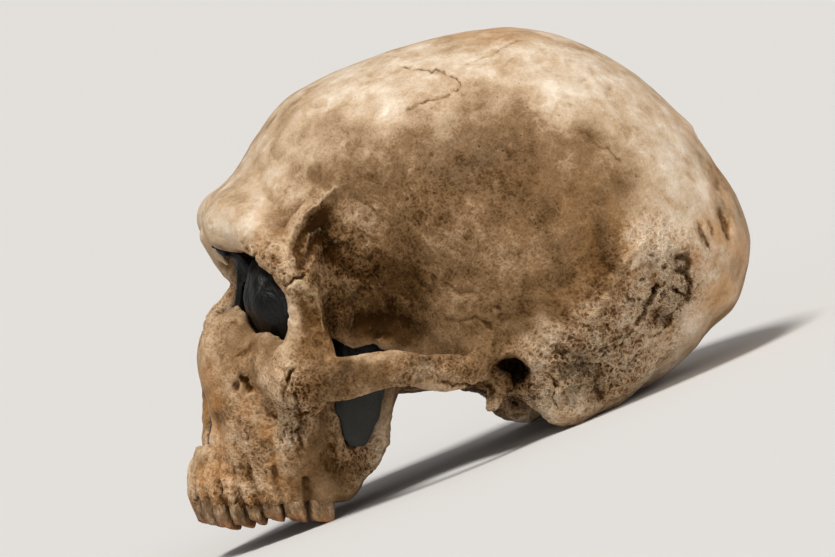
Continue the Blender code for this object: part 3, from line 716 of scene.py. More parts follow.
# Its pits: the pixel of the middle, half width, half height, turn in degrees and depth
PITS = {
    "deep pit at the back": ((679, 263), 3.2, 3.6, 15, 3.4),
    "long pit near the edge": ((722, 225), 1.7, 6.4, 17, 2.2),
    "pit above it": ((716, 186), 1.3, 2.2, 20, 0.8),
    "round scar": ((658, 316), 4.9, 4.5, 0, 1.7),
    "floor of the round scar": ((665, 322), 1.9, 1.9, 0, 1.3),
    "pit by the crack": ((409, 110), 1.5, 1.1, 20, 0.9),
    "slanted dent": ((269, 192), 1.5, 4.9, 32, 0.8),
    "dent beside it": ((250, 200), 1.5, 2.2, 20, 0.35),
    "front dimple of the vault": ((315, 108), 2.2, 0.9, -20, 0.5),
    "second dimple of the vault": ((349, 106), 1.9, 0.9, -20, 0.45),
    "dimple over the crack": ((372, 77), 1.5, 0.9, -20, 0.5),
    "dimple behind the crown": ((610, 91), 1.3, 1.1, 0, 0.7),
    "dimple of the crown": ((584, 82), 1.5, 1.1, 0, 0.6),
    "hollow of the parietal": ((590, 140), 3.0, 1.5, 25, 0.5),
    "hole under the orbit": ((245, 379), 1.5, 1.9, 20, 2.6),
    "hole below it": ((250, 387), 1.5, 1.5, 0, 2.2),
    "hole before it": ((238, 385), 1.1, 1.5, 0, 1.4),
    "hollow round the holes": ((246, 383), 4.1, 3.8, 0, 0.6),
    "slit in the cheek": ((293, 372), 0.9, 2.6, -30, 2.0),
    "upper pit of the cheek": ((298, 415), 1.5, 1.5, 0, 1.4),
    "lower pit of the cheek": ((303, 428), 1.5, 1.5, 0, 1.1),
    "back pit of the cheek": ((309, 420), 1.5, 1.9, 0, 1.2),
    "front pit of the cheek": ((292, 426), 1.1, 1.1, 0, 1),
    "pore of the jaw": ((212, 365), 0.9, 0.9, 0, 0.5),
    "pore beside the nose": ((236, 322), 1.1, 0.9, 0, 0.5),
    "pore under the orbit": ((262, 330), 1.1, 1.1, 0, 0.6),
    "temple pit": ((326, 226), 2.2, 1.9, 0, 1.3),
    "hollow of the temple": ((334, 256), 3.0, 4.1, 0, 1.4),
    "hollow of the boss": ((366, 320), 4.5, 3.4, 0, 1.5),
    "pit beside the crest": ((306, 262), 1.9, 3.4, 0, 1.2),
    "pit under the mastoid": ((597, 394), 1.9, 3.0, -50, 1.6),
    "dent in the brow": ((243, 216), 3.4, 2.6, 0, 0.35),
    "pit over the ear": ((503, 318), 2.2, 1.9, 0, 0.7),
    "pore over the ear": ((497, 308), 1.1, 1.1, 0, 0.7),
    "pore of the upright": ((293, 318), 1.1, 1.5, 0, 0.7),
    "pore of the cheekbone": ((300, 352), 1.1, 1.1, 0, 0.6),
    "pale dent": ((648, 262), 2.6, 3.4, 20, 0.6),
}

# Points further left than this take the marks
MARKED_SIDE = -4.0
# How far a crack eases out beyond its width, and how far beside a point its rim is looked for
CRACK_EDGE = 0.15
LIP_REACH = 0.9
# How much of the strokes, ledges and pits is painted as shade in the hollow
CUT_SHARES = (1.0, 0.1, 0.36)

# Soft patches of the side plan, where the bone is paler, darker, warmer, rougher, greyer or pored:
# (across, up, half width, half height, turn in degrees, strength). The pale and dark patches are partly the
# bone's own stains and partly painted light and shade: paler high on the vault and in the bowl under the
# base, darker low on the face, in the ear opening and in the floor of the round scar
LIT_AND_PALE = (
    (-8, 118, 70, 13, -3, 0.42), (60, 74, 20, 32, -52, 0.5), (-70, 82, 16, 24, 38, 0.38),
    (-37, 101, 26, 9, -15, 0.5), (-24, 100, 12, 6, 0, 0.15), (-96, 60, 15, 9, -10, 0.5),
    (80, 45, 12, 30, 0, 0.4), (36, 104, 20, 12, -25, 0.35), (-102, 4, 10, 14, 0, 0.2),
    (48, 24, 18, 9, 38, 0.3), (64, 40, 10, 12, 0, 0.4), (66, 14, 14, 20, 30, 0.5),
    (34, -12, 8, 6, 0, 0.2), (-103, -42, 8, 10, 0, 0.2), (-58, 4, 24, 3, 5, 0.3),
    (-70, -22, 8, 10, 0, 0.3), (-84, 44, 12, 5, -35, 0.2), (-71, 20, 6, 14, 0, 0.5),
    (-23, 19, 9, 9, 0, 0.25), (18, -15, 8, 3, 0, 0.4), (19, -12, 6, 4, 0, 0.2),
    (-82, 70, 14, 9, -30, 0.25), (-47, 66, 14, 9, 10, 0.1), (40, 5, 10, 7, 0, 0.5),
    (18, 15, 6, 5, 0, 0.45), (-86, -38, 10, 6, 0, 0.2), (-52, 54, 7, 7, 0, 0.35), (-67, 61, 7, 6, 0, 0.3),
    (4, 34, 10, 6, 0, 0.15), (27, 43, 8, 6, 0, 0.2), (61, 36, 9, 9, 0, 0.2), (26, 6, 16, 5, 0, 0.25),
    (18, -2, 5, 5, 0, 0.25), (18, -12, 7, 5, 0, 0.4), (-9, 7, 6, 5, 0, 0.25), (-99, -20, 6, 9, 0, 0.25),
    (-81, -29, 6, 5, 0, 0.25),
)
SHADED_AND_DARK = (
    (-12, 52, 56, 40, -6, 0.4), (-60, 40, 10, 26, 5, 0.33), (-49, 26, 12, 13, -12, 0.45),
    (40, 88, 9, 5, 10, 0.2), (38, 62, 14, 24, 8, 0.4), (36, 40, 10, 10, 0, 0.25),
    (-33, 15, 12, 5, 0, 0.4), (-20, 78, 32, 12, 0, 0.15), (20, 24, 14, 7, 0, 0.4),
    (-34, -3, 22, 7, 0, 0.35), (-34, 32, 14, 18, 0, 0.1), (9, 7, 7, 5, 0, 0.4), (-2, 14, 14, 6, 0, 0.3),
    (-4, 4, 10, 4, 0, 0.35), (-19, 6, 10, 5, 0, 0.3), (-5, -3, 9, 4, 0, 0.3), (-65, 17, 6, 12, 0, 0.3),
    (33, -2, 11, 8, 20, 0.4), (-84, -50, 30, 7, 0, 0.4), (-101, -11, 6, 9, 0, 0.35),
    (-90, 12, 9, 6, 0, 0.2), (-62, -33, 12, 10, 0, 0.15), (-50, -32, 8, 14, 0, 0.35),
    (-78, 33, 10, 7, -35, 0.35), (-90, -34, 10, 10, 0, 0.2), (-62, -2, 10, 12, 0, 0.3),
    (-38, 1, 26, 6, 0, 0.15), (-46, 46, 10, 12, 0, 0.15), (-60, 52, 5, 6, 0, 0.3),
    (-62, 43, 4, 7, 0, 0.5), (-45, 19, 6, 5, 0, 0.35), (-98, 14, 10, 14, 0, 0.12),
    (22, -8, 14, 10, 0, 0.12), (-38, 19, 9, 8, 0, 0.35), (-33, 27, 9, 12, 0, 0.25),
    (-60, 20, 5, 10, 0, 0.15), (9, 88, 8, 14, 0, 0.25), (49, 62, 9, 13, 0, 0.25), (50, 78, 9, 8, 0, 0.18),
    (-54, 72, 11, 9, 0, 0.25), (45, 34, 5, 5, 0, 0.3), (-63, -11, 7, 6, 0, 0.3), (-54, -29, 9, 9, 0, 0.2),
    (-90, -47, 10, 4, 0, 0.35), (-64, -29, 5, 6, 0, 0.2), (-101, -4, 8, 14, 0, 0.2),
    (9.5, -1, 6.5, 5, 0, 0.7), (-89, -50, 10, 6, 0, 0.3), (86, 70, 7, 9, 0, 0.35),
    (-94, -12, 9, 7, 0, 0.25), (-82, -21, 7, 6, 0, 0.25), (-72, -38, 8, 6, 0, 0.25),
    (-108, -45, 5, 10, 0, 0.3), (-23, 52, 12, 8, 0, 0.2), (-73, 24, 5, 6, 0, 0.15),
    (0, 125, 60, 3, 0, 0.2), (-64, 79, 6, 6, 0, 0.2), (67, 18.5, 4, 4, 0, 0.4),
)
WARM = (
    (-90, -24, 20, 24, 0, 0.7), (90, 52, 14, 36, 0, 0.95), (-86, 48, 14, 10, -30, 0.45),
    (0, 126, 60, 5, 0, 0.6), (36, 50, 24, 24, 0, 0.3), (-104, -44, 10, 14, 0, 0.4),
    (76, 92, 20, 8, -40, 0.6), (-105, -5, 7, 12, 0, 0.7), (-50, 10, 16, 10, 0, 0.3),
    (72, 20, 16, 14, 30, 0.4), (10, -14, 10, 6, 0, 0.9),
)
ROUGH = (
    (52, 17, 32, 17, 38, 1.1), (26, -4, 22, 14, 10, 0.85), (-70, -16, 8, 12, 0, 1),
    (-79, 38, 13, 7, -32, 0.5), (-20, -2, 18, 7, 0, 0.5), (-42, -32, 8, 22, 25, 0.9),
    (-88, -30, 20, 18, 0, 0.5), (-68, 0, 12, 12, 0, 0.25), (-60, 34, 12, 24, 0, 0.35),
    (66, 36, 14, 16, 30, 0.6), (-96, -46, 18, 9, 0, 0.5), (-101, 22, 9, 10, 0, 0.6),
    (-14, 50, 50, 40, 0, 0.25), (-88, -4, 16, 12, 0, 0.3), (10, -13, 9, 7, 0, 0.8),
)
GREY = (
    (33, -6, 10, 8, 20, 1), (-26, -3, 7, 3, 0, 0.6), (-10, 84, 16, 10, 0, 0.15), (-60, 0, 10, 8, 0, 0.1),
)
PORED = (
    (-80, 40, 13, 5.5, -36, 1), (-72, 30, 5, 5, 0, 0.5), (-68, -16, 6, 8, 0, 0.8),
    (-72, 8, 8, 10, 0, 0.25), (-104, 20, 4, 12, 0, 0.6), (10, 2, 16, 10, 0, 0.3),
    (-100, -40, 12, 14, 0, 0.35),
)
# What makes the stains and the marks ragged: the size of the bends and how far they reach
RAGGED_EDGES = ((26, 7), (9, 3.5), (3, 1.4))
MARK_BENDS = ((4.5, 0.9), (1.6, 0.6))
# From which strength on rough, pored and marked bone gets finer faces, and how far back rough bone does
FINE_ROUGH = 0.55
FINE_PORED = 0.45
FINE_MARK = 0.08
FINE_BACK = 90

# The inward step high on the back of the head: its two edges as angles round the centre of the vault in
# degrees, over how many degrees each sets in, its depth and how far it reaches to the sides
STEP_TOP = 42
STEP_TOP_REACH = 5
STEP_FOOT = 17
STEP_FOOT_REACH = 11
STEP_DEPTH = 1.6
STEP_BREADTH = 40

# How far round a point the bone is averaged to find what swells out of it
SWELL_REACH = 3.5
# Half the breadth of the block of clay for a tooth
TOOTH_BLOCK = 12
# The two columns of a molar: how slim they are and how far apart, as shares
TWIN_SLIMNESS = 0.6
TWIN_SPACING = 0.44
# How softly the forms of the filler run together, and how flat the panels behind the cheeks are
SOFT_BLEND = 7
THIN_BLEND = 1.5
PANEL_SQUASH = (1.25, 0.5, 1)


def level_turn():
    """Turns and shifts the level frame, in metres, into the pose in which the skull rests."""
    return Matrix.Translation(Vector(REST_SHIFT) * MM) @ Matrix.Rotation(REST_TILT, 4, "Y")


def lattice_noise(points, size, seed):
    """A smooth random value from -1 to 1 at each point, with features of one size."""
    table = np.random.default_rng(seed).uniform(-1, 1, 4096).astype(np.float32)
    place = points / size
    cell = np.floor(place).astype(np.int64)
    part = (place - cell).astype(np.float32)
    part = part * part * (3 - 2 * part)
    total = np.zeros(len(points), np.float32)
    for corner in range(8):
        step = np.array([corner & 1, corner >> 1 & 1, corner >> 2 & 1])
        key = (cell + step) @ np.array([73856093, 19349663, 83492791])
        weight = np.where(step, part, 1 - part).prod(axis=1)
        total += weight * table[(key ^ key >> 13) & 4095]
    return total


def cloudy(points, size, octaves, seed):
    """Noise with finer noise on it, from about -1 to 1."""
    total, strength = 0.0, 1.0
    for octave in range(octaves):
        total = total + strength * lattice_noise(points, size / 2**octave, seed + octave)
        strength *= 0.5
    return total / 1.4


def webbed(points, size, seed):
    """Thin ridges round shallow cells: 1 on a ridge, about -0.5 in a cell."""
    bent = points + 0.3 * size * lattice_noise(points, size, seed + 50)[:, None]
    return 1 - 3.2 * np.abs(cloudy(bent, size, 2, seed))


def photo_place(pixel):
    """Where a pixel of the photograph lies in the side plan, to a tenth of a millimetre."""
    across, down = pixel
    return round((across - ORIGIN_PIXEL[0]) * PIXEL, 1), round((ORIGIN_PIXEL[1] - down) * PIXEL, 1)


def patch_offset(across, up, patch):
    """How far each place is from the middle of the patch: one at its edge, squared."""
    u, v, wide, high, turn = patch[:5]
    c, s = math.cos(math.radians(turn)), math.sin(math.radians(turn))
    du, dv = across - u, up - v
    return ((du * c + dv * s) / wide) ** 2 + ((-du * s + dv * c) / high) ** 2


def soft_patch(across, up, patch):
    """One at the middle of the patch, falling smoothly to nothing beyond its edge."""
    return np.exp(-(patch_offset(across, up, patch) ** 1.5) * 0.7)


def crisp_patch(across, up, patch):
    """Like a soft patch, but flat inside and with a steep edge."""
    return 1 / (1 + patch_offset(across, up, patch) ** 3)


def patches(across, up, group):
    return sum(patch[5] * soft_patch(across, up, patch) for patch in group)


def side_plan(points):
    """Where the points are in the side plan: across, up and towards the right."""
    across = points[:, 0] * math.cos(SIDE_YAW) - points[:, 1] * math.sin(SIDE_YAW)
    return across, points[:, 2], points[:, 1]


def folded_plan(points, ragged=False):
    """Their places across and up, the right side folded onto the left, ragged for uneven stains and painted
    light and shade.
    """
    folded = points.copy()
    folded[:, 1] = -np.abs(folded[:, 1])
    across, up = side_plan(folded)[:2]
    for size, bend in RAGGED_EDGES if ragged else ():
        across = across + bend * lattice_noise(points, size, 101 + size)
        up = up + bend * lattice_noise(points, size, 151 + size)
    return across, up


def beside_line(stations, across, up):
    """For points of the side plan: their distance from a line, negative on its left, and the distance of
    the nearest place on the line from its nearer end."""
    near, walked = np.full_like(across, FAR), 0.0
    beside, place = near.copy(), np.zeros_like(across)
    for (au, av), (bu, bv) in zip(stations, stations[1:]):
        run = math.hypot(bu - au, bv - av)
        du, dv = (bu - au) / run, (bv - av) / run
        t = np.clip((across - au) * du + (up - av) * dv, 0, run)
        away = np.hypot(across - au - t * du, up - av - t * dv)
        right = (across - au) * dv - (up - av) * du
        closer = away < near
        near[closer] = away[closer]
        beside[closer] = (away * np.sign(right))[closer]
        place[closer] = walked + t[closer]
        walked += run
    return beside, np.minimum(place, walked - place)


def groove(beside, end, width, deep):
    """A crack with slightly raised lips, or a ridge where its depth is negative."""
    near = np.abs(beside)
    depth = np.exp(-((near / (width + CRACK_EDGE)) ** 2))
    if deep > 0:
        depth -= 0.2 * np.exp(-(((near - 2 * width - 0.5) / (width + 0.3)) ** 2))
    return deep * depth * np.clip(0.3 + end / 3, 0, 1)


def ledge(beside, end, reach, drop):
    """A drop on the right of a line, easing off over its reach, with a slight lip on the left."""
    fall = np.clip((beside + 0.4) / 0.8, 0, 1) * np.exp(-((np.maximum(beside, 0) / reach) ** 2))
    lip = 0.2 * np.exp(-(((beside + 0.9) / 0.8) ** 2))
    return drop * (fall - lip) * np.clip(end / 8, 0, 1)


def mark_depth(points, shares=(1.0, 1.0, 1.0)):
    """How deep the marks of the left side go at each point, ragged along their edges: the shares of the
    strokes, the ledges and the pits."""
    across, up, side = side_plan(points)
    for number, (size, bend) in enumerate(MARK_BENDS):
        across = across + bend * lattice_noise(points, size, 61 + number)
        up = up + bend * lattice_noise(points, size, 63 + number)
    left = side < MARKED_SIDE
    depth = np.zeros_like(across)
    for marks, shape, spread, share in ((STROKES, groove, 4, shares[0]), (LEDGES, ledge, 2.5, shares[1])):
        for path, width, deep in marks.values():
            stations = [photo_place(pixel) for pixel in path]
            low = np.min(stations, axis=0) - spread * width - 2
            high = np.max(stations, axis=0) + spread * width + 2
            at = left & (across > low[0]) & (across < high[0]) & (up > low[1]) & (up < high[1])
            depth[at] += share * shape(*beside_line(stations, across[at], up[at]), width, deep)
    for pixel, wide, tall, turn, deep in PITS.values():
        pit = (*photo_place(pixel), wide, tall, turn)
        depth += shares[2] * deep * crisp_patch(across, up, pit) * left
    return depth


def mark_lip(points):
    """How much deeper the marks go close beside each point: high on their rims, negative at their feet."""
    ways = ((1, 0, 0), (-1, 0, 0), (0, 0, 1), (0, 0, -1))
    beside = [mark_depth(points + LIP_REACH * np.array(way)) for way in ways]
    return sum(beside) / len(ways) - mark_depth(points)


def root_groove_shade(points):
    """How much painted shade lies in the grooves between the tooth roots."""
    folded = np.stack([points[:, 0], np.abs(points[:, 1]), points[:, 2]])
    away = np.min([between.distance(*folded) for between in root_grooves()], axis=0)
    return np.exp(-((np.maximum(away, 0) / 0.7) ** 2)) * (0.7 + 0.4 * lattice_noise(points, 2.5, 87))


def pores(points):
    """How deep the small holes of the coarse bone go at each point."""
    across, up = folded_plan(points)
    large = np.clip((lattice_noise(points, 2.4, 81) - 0.5) / 0.15, 0, 1)
    small = np.clip((lattice_noise(points, 1.9, 83) - 0.3) / 0.2, 0, 1)
    large = large * np.clip(patches(across, up, ROUGH) - 0.3, 0, 1)
    small = small * np.clip(patches(across, up, PORED), 0, 1)
    return 1.1 * large + small


def nape_step(points):
    """How far the back of the head steps in at each point."""
    angle = np.arctan2(points[:, 2] - VAULT_CENTRE[1], points[:, 0] - VAULT_CENTRE[0])
    angle = np.degrees(angle) + 2 * lattice_noise(points, 8, 71)
    below = np.clip((STEP_TOP - angle) / STEP_TOP_REACH, 0, 1)
    above = np.clip((angle - STEP_FOOT) / STEP_FOOT_REACH, 0, 1)
    return STEP_DEPTH * (below * above * np.exp(-((points[:, 1] / STEP_BREADTH) ** 2)))


def relief(points):
    """How far the surface stands out (+) or in (-) at points on it, beyond its smooth shape."""
    across, up = folded_plan(points)
    rough = np.clip(patches(across, up, ROUGH), 0, 1.1)
    outside = np.clip((egg(*BRAIN_HOLLOW).distance(*points.T) - 3) / 2, 0, 1)
    wavy = 0.4 * cloudy(points, 14, 2, 11) + (0.1 + 0.4 * rough) * cloudy(points, 5, 2, 21)
    spongy = (0.04 + 0.5 * rough) * webbed(points, 6, 41) + (0.02 + 0.3 * rough) * webbed(points, 2.6, 45)
    return (wavy + spongy - nape_step(points) - pores(points) - mark_depth(points)) * outside


def model_bone(step):
    """The smooth bone: the right half with its mirror image, and then what only one side shows."""
    clay = Clay(BLOCK_LOW, BLOCK_HIGH, step)
    shape_vault(clay)
    shape_base(clay)
    shape_brow(clay)
    shape_upper_jaw(clay)
    shape_cheek(clay)
    shape_roots(clay)
    hollow_out(clay)
    clay.unfold()
    shape_left_side(clay)
    shape_right_side(clay)
    return clay


def blurred(field, reach):
    """The field averaged over a box of cells, twice, along each axis."""
    for axis in (0, 1, 2, 0, 1, 2):
        margin = [(reach + 1, reach) if a == axis else (0, 0) for a in range(3)]
        total = np.cumsum(np.pad(field, margin, "edge"), axis=axis, dtype=np.float64)
        size = field.shape[axis]
        high = np.take(total, range(2 * reach + 1, 2 * reach + 1 + size), axis)
        low = np.take(total, range(0, size), axis)
        field = ((high - low) / (2 * reach + 1)).astype(np.float32)
    return field


def sampled(clay, field, points):
    """The field of the clay's grid at points, by the weighted mean of the eight cells round each."""
    place = [(points[:, a] - clay.axes[a][0]) / (clay.axes[a][1] - clay.axes[a][0]) for a in range(3)]
    cell = [np.clip(np.floor(p).astype(int), 0, len(axis) - 2) for p, axis in zip(place, clay.axes)]
    part = [p - c for p, c in zip(place, cell)]
    total = 0.0
    for corner in range(8):
        step = (corner & 1, corner >> 1 & 1, corner >> 2 & 1)
        weight = 1.0
        for p, s in zip(part, step):
            weight = weight * (p if s else 1 - p)
        total = total + weight * field[tuple(c + s for c, s in zip(cell, step))]
    return total


def store(mesh, name, values):
    attribute = mesh.attributes.new(name, "FLOAT", "POINT")
    attribute.data.foreach_set("value", np.asarray(values, np.float32))


def level_points(mesh):
    points = np.empty(len(mesh.vertices) * 3, np.float32)
    mesh.vertices.foreach_get("co", points)
    return points.reshape(-1, 3) / MM


def point_normals(mesh):
    normals = np.empty(len(mesh.vertices) * 3, np.float32)
    mesh.vertex_normals.foreach_get("vector", normals)
    return normals.reshape(-1, 3)


def new_object(name, mesh):
    obj = bpy.data.objects.new(name, mesh)
    bpy.context.scene.collection.objects.link(obj)
    return obj


def thin_out(obj, triangles):
    """Brings the object's mesh down to a number of triangles."""
    obj.data.calc_loop_triangles()
    thin = obj.modifiers.new("Thin out", "DECIMATE")
    thin.ratio = min(1.0, triangles / len(obj.data.loop_triangles))
    mesh = evaluated_mesh(obj)
    obj.modifiers.clear()
    obj.data = mesh


def keep_in_box(mesh, box, recess):
    """Presses points that stand out of the object's box back to its sides, at the front by a recess more."""
    low, high = np.array(box[0]) + BOX_GAP * MM, np.array(box[1]) - BOX_GAP * MM
    low[0] += recess * MM
    places = np.clip(level_points(mesh) * MM, low, high)
    mesh.vertices.foreach_set("co", places.astype(np.float32).ravel())


def hand_over(obj, node, material, box, recess=0.0):
    """Turns a finished piece into its resting pose and lets it stand for its node."""
    obj.data.transform(level_turn())
    keep_in_box(obj.data, box, recess)
    obj.data.materials.clear()
    obj.data.materials.append(material)
    obj.data.polygons.foreach_set("material_index", np.zeros(len(obj.data.polygons), np.int32))
    obj.data.polygons.foreach_set("use_smooth", np.ones(len(obj.data.polygons), bool))
    obj.data.update()
    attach(obj, "root")
    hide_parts(node)


def refine(mesh):
    """Splits the faces that lie in marks and on rough bone, so that they can take crisp relief."""
    points = level_points(mesh)
    across, up = folded_plan(points)
    fine = (patches(across, up, ROUGH) > FINE_ROUGH) & (across < FINE_BACK)
    fine |= patches(across, up, PORED) > FINE_PORED
    fine |= np.abs(mark_depth(points)) > FINE_MARK
    bm = bmesh.new()
    bm.from_mesh(mesh)
    bm.verts.ensure_lookup_table()
    edges = [edge for edge in bm.edges if fine[edge.verts[0].index] and fine[edge.verts[1].index]]
    bmesh.ops.subdivide_edges(bm, edges=edges, cuts=1, use_grid_fill=True)
    bmesh.ops.triangulate(bm, faces=bm.faces[:])
    bm.to_mesh(mesh)
    bm.free()


def raise_relief(mesh):
    """Moves the points of the bone's mesh out and in by its relief."""
    points = level_points(mesh)
    height = relief(points)
    moved = points + point_normals(mesh) * height[:, None]
    mesh.vertices.foreach_set("co", (moved * MM).astype(np.float32).ravel())
    mesh.update()


def store_bone_looks(mesh, clay):
    """Stores what the bone's material reads: stains and painted light and shade, roughness, shaded marks,
    rims and hollows.
    """
    points = level_points(mesh)
    across, up = folded_plan(points, ragged=True)
    # The tone holds the stains and the painted light and shade of the pale and dark patches
    store(mesh, "tone_and_shade", patches(across, up, LIT_AND_PALE) - patches(across, up, SHADED_AND_DARK))
    for name, group in (("warmth", WARM), ("rough", ROUGH), ("grey", GREY)):
        store(mesh, name, patches(across, up, group))
    # How deep the marks, pores and root grooves go, which the material paints as shade
    store(mesh, "cut", mark_depth(points, CUT_SHARES) + 0.8 * pores(points) + 0.8 * root_groove_shade(points))
    store(mesh, "lip", mark_lip(points))
    store(mesh, "height", relief(points))
    cells = max(1, round(SWELL_REACH / (clay.axes[0][1] - clay.axes[0][0])))
    store(mesh, "swell", sampled(clay, blurred(clay.distance, cells) - clay.distance, points))


def make_bone(material, box):
    clay = model_bone(BONE_STEP)
    mesh = clay.mesh()
    refine(mesh)
    raise_relief(mesh)
    obj = new_object("fossil_bone", mesh)
    thin_out(obj, BONE_TRIANGLES)
    store_bone_looks(obj.data, clay)
    hand_over(obj, "cranium", material, box)
    return clay


def tooth_columns(tooth, width, middle, along, out):
    """The outer columns of a right tooth, each leaning back from root to tip."""
    slimness = 1.0 if tooth.columns == 1 else TWIN_SLIMNESS
    columns = []
    for column in range(tooth.columns):
        aside = (column - (tooth.columns - 1) / 2) * width * TWIN_SPACING
        stations = []
        for rise, share, push in TOOTH_COLUMN:
            z = min(tooth.tip + rise, GUM_LEVEL + ROOT_DEPTH)
            place = middle + along * aside + out * (push + 0.1 * tooth.breadth)
            stations.append((place[0] + root_lean(tooth, z), place[1], z, width * share * slimness))
        columns.append(rod(stations))
    return columns


def model_tooth(tooth, seed):
    """One right tooth: a worn, ridged crown on a root whose outer side shows above the socket's edge."""
    x, y, turn = tooth_place(tooth)
    tip = tooth.tip
    along = np.array((math.cos(turn), math.sin(turn), 0))
    out = np.array((-math.sin(turn), math.cos(turn), 0))
    width = tooth.width - 2 * FIT_GAP
    middle = np.array((x, y, 0.0))
    low = middle + (-TOOTH_BLOCK, -TOOTH_BLOCK, tip - 3)
    high = middle + (TOOTH_BLOCK, TOOTH_BLOCK, GUM_LEVEL + ROOT_DEPTH + 6)
    clay = Clay(low, high, TOOTH_STEP)
    for column in tooth_columns(tooth, width, middle, along, out):
        clay.add(column, 0.4)
    crown = egg(
        (x + root_lean(tooth, tip) - out[0] * 0.8, y - out[1] * 0.8, (GUM_LEVEL + tip) / 2),
        (width * 0.43, tooth.breadth * 0.42, (GUM_LEVEL - tip) * 0.8),
        yaw=math.degrees(turn),
    )
    clay.add(crown, 1.0)
    points = clay.points()
    beside = points - middle
    slope = 0.12 * (beside @ out) - 0.1 * (beside @ along)
    hollow = 0.8 * np.exp(-((beside**2)[:, :2].sum(axis=1)) / (0.25 * width) ** 2)
    worn = tip + 0.7 + (0.7 * lattice_noise(points, 3.5, seed) + slope) + hollow - points[:, 2]
    upright = points * (1, 1, 0.3)
    bumps = 0.3 * cloudy(upright, 2.4, 2, seed + 3) + 0.2 * webbed(upright, 1.6, seed + 7)
    clay.take(-smooth_least(-(clay.distance.ravel() - bumps), -worn, 1.0))
    return clay


def store_tooth_looks(mesh, tooth):
    """Stores on a right tooth how far off its middle line and how high over its tip each point is."""
    x, y, turn = tooth_place(tooth)
    points = level_points(mesh)
    lean = np.array([root_lean(tooth, z) for z in points[:, 2]])
    aside = (points[:, 0] - x - lean) * math.cos(turn) + (points[:, 1] - y) * math.sin(turn)
    store(mesh, "aside", np.abs(aside) / (0.5 * tooth.width))
    store(mesh, "height", (points[:, 2] - tooth.tip) / 10)


def make_teeth(material, box):
    for number, tooth in enumerate(TEETH):
        for side, sign in (("right", 1), ("left", -1)):
            mesh = model_tooth(tooth, seed=200 + 10 * number + sign).mesh()
            keep_largest_body(mesh)
            store_tooth_looks(mesh, tooth)
            if sign < 0:
                mesh.transform(Matrix.Diagonal((1, -1, 1, 1)))
                mesh.flip_normals()
            obj = new_object(side + "_worn_" + tooth.name, mesh)
            hand_over(obj, side + "_" + tooth.name, material, box, TOOTH_RECESS)


def orbit_filler_forms():
    """The soft forms of the left and of the right orbit's filler, and the thin ones of the left, partly a
    dark sheet for shade.
    """
    left = (
        egg((-73.5, -33.5, 27), (18.5, 22, 18), yaw=22, roll=12),
        egg((-81, -31, 26), (9, 13, 13)),
        rod([(-82.6, -20, 38, 8.5), (-82.6, -20, 19, 8.5)]),
    )
    right = (
        egg((-70.5, 33.5, 28), (17, 21, 17.5), yaw=-22, roll=-12),
        egg((-78, 35, 24), (9, 12, 11)),
    )
    # The inner wall and the strip under the brow: partly filler, partly a dark sheet where the brow's shade
    # falls
    inner_wall = rod([(-86, -5, 36, 5), (-86, -5, 20, 6)])
    column = rod([(-93.1, -8, 39, 2.2), (-93.1, -8, 31, 1.7), (-93.4, -8, 22, 2.0)])
    strip = [(-104, -9, 46.4, 1.2), (-98.5, -9, 44, 2.0), (-94, -8, 42.5, 2.2), (-88, -6, 37, 4.5)]
    return left, right, (inner_wall, column, rod(strip, (1, 1.6, 1)))


def filler_forms():
    """The lumps of dark filler: name, its soft and its thin forms, and how lumpy it is."""
    left_orbit, right_orbit, left_strips = orbit_filler_forms()
    nose_plug = [
        (-85, 0, 37, 5.5), (-87, 0, 24, 8), (-95, 0, 4, 12.5), (-96, 0, -16, 15), (-95, 0, -22, 10.5),
    ]
    nose = (rod(nose_plug, (0.5, 1, 1)), rod([(-100, 1, -24, 4), (-102.5, 1, -34, 3.5)]))
    left_panel = [
        (-52, -33, 10, 8), (-52.5, -33, -8, 8), (-53.5, -33, -15, 7.6), (-56, -33, -23.5, 6.4),
    ]
    right_panel = [(-52, 33, 10, 8), (-51, 33, -8, 8), (-53, 33, -22, 8)]
    return (
        ("left_orbit_filler", left_orbit, left_strips, 1.1),
        ("right_orbit_filler", right_orbit, (), 1.1),
        ("nose_filler", (), nose, 0.6),
        ("left_cheek_filler", (), (rod(left_panel, PANEL_SQUASH),), 0.3),
        ("right_cheek_filler", (), (rod(right_panel, PANEL_SQUASH),), 0.3),
    )


def model_filler(bone, soft, thin, lumps):
    """A lump of filler, kept off the bone by the gap."""
    low = np.min([form.low for form in soft + thin], axis=0) - 4
    high = np.max([form.high for form in soft + thin], axis=0) + 4
    clay = Clay(low, high, FILLER_STEP)
    for form in soft:
        clay.add(form, SOFT_BLEND)
    for form in thin:
        clay.add(form, THIN_BLEND)
    points = clay.points()
    bumps = cloudy(points, 9, 2, 91) + 0.4 * webbed(points * (1, 1, 0.6), 7, 95)
    gap = 2 * FIT_GAP - sampled(bone, bone.distance, points)
    clay.take(np.maximum(clay.distance.ravel() - lumps * bumps, gap))
    return clay


def make_fillers(bone, material, box):
    """The dark lumps. A cheek's panel turns grey towards its lower end."""
    for name, soft, thin, lumps in filler_forms():
        mesh = model_filler(bone, soft, thin, lumps).mesh()
        keep_largest_body(mesh)
        obj = new_object("dark_" + name, mesh)
        low_end = np.clip((4 - level_points(mesh)[:, 2]) / 8, 0, 1)
        store(mesh, "greyness", low_end * ("cheek" in name))
        hand_over(obj, name, material, box)


def keep_largest_body(mesh):
    """Drops the crumbs beside the main body."""
    bm = bmesh.new()
    bm.from_mesh(mesh)
    seen, bodies = set(), []
    for start in bm.verts:
        if start in seen:
            continue
        body, queue = [], [start]
        seen.add(start)
        while queue:
            vert = queue.pop()
            body.append(vert)
            for edge in vert.link_edges:
                other = edge.other_vert(vert)
                if other not in seen:
                    seen.add(other)
                    queue.append(other)
        bodies.append(body)
    bodies.sort(key=len)
    bmesh.ops.delete(bm, geom=[vert for body in bodies[:-1] for vert in body], context="VERTS")
    bm.to_mesh(mesh)
    bm.free()


# The mean of the ridged noise, which is taken off it
RUGGED_MEAN = 1.05


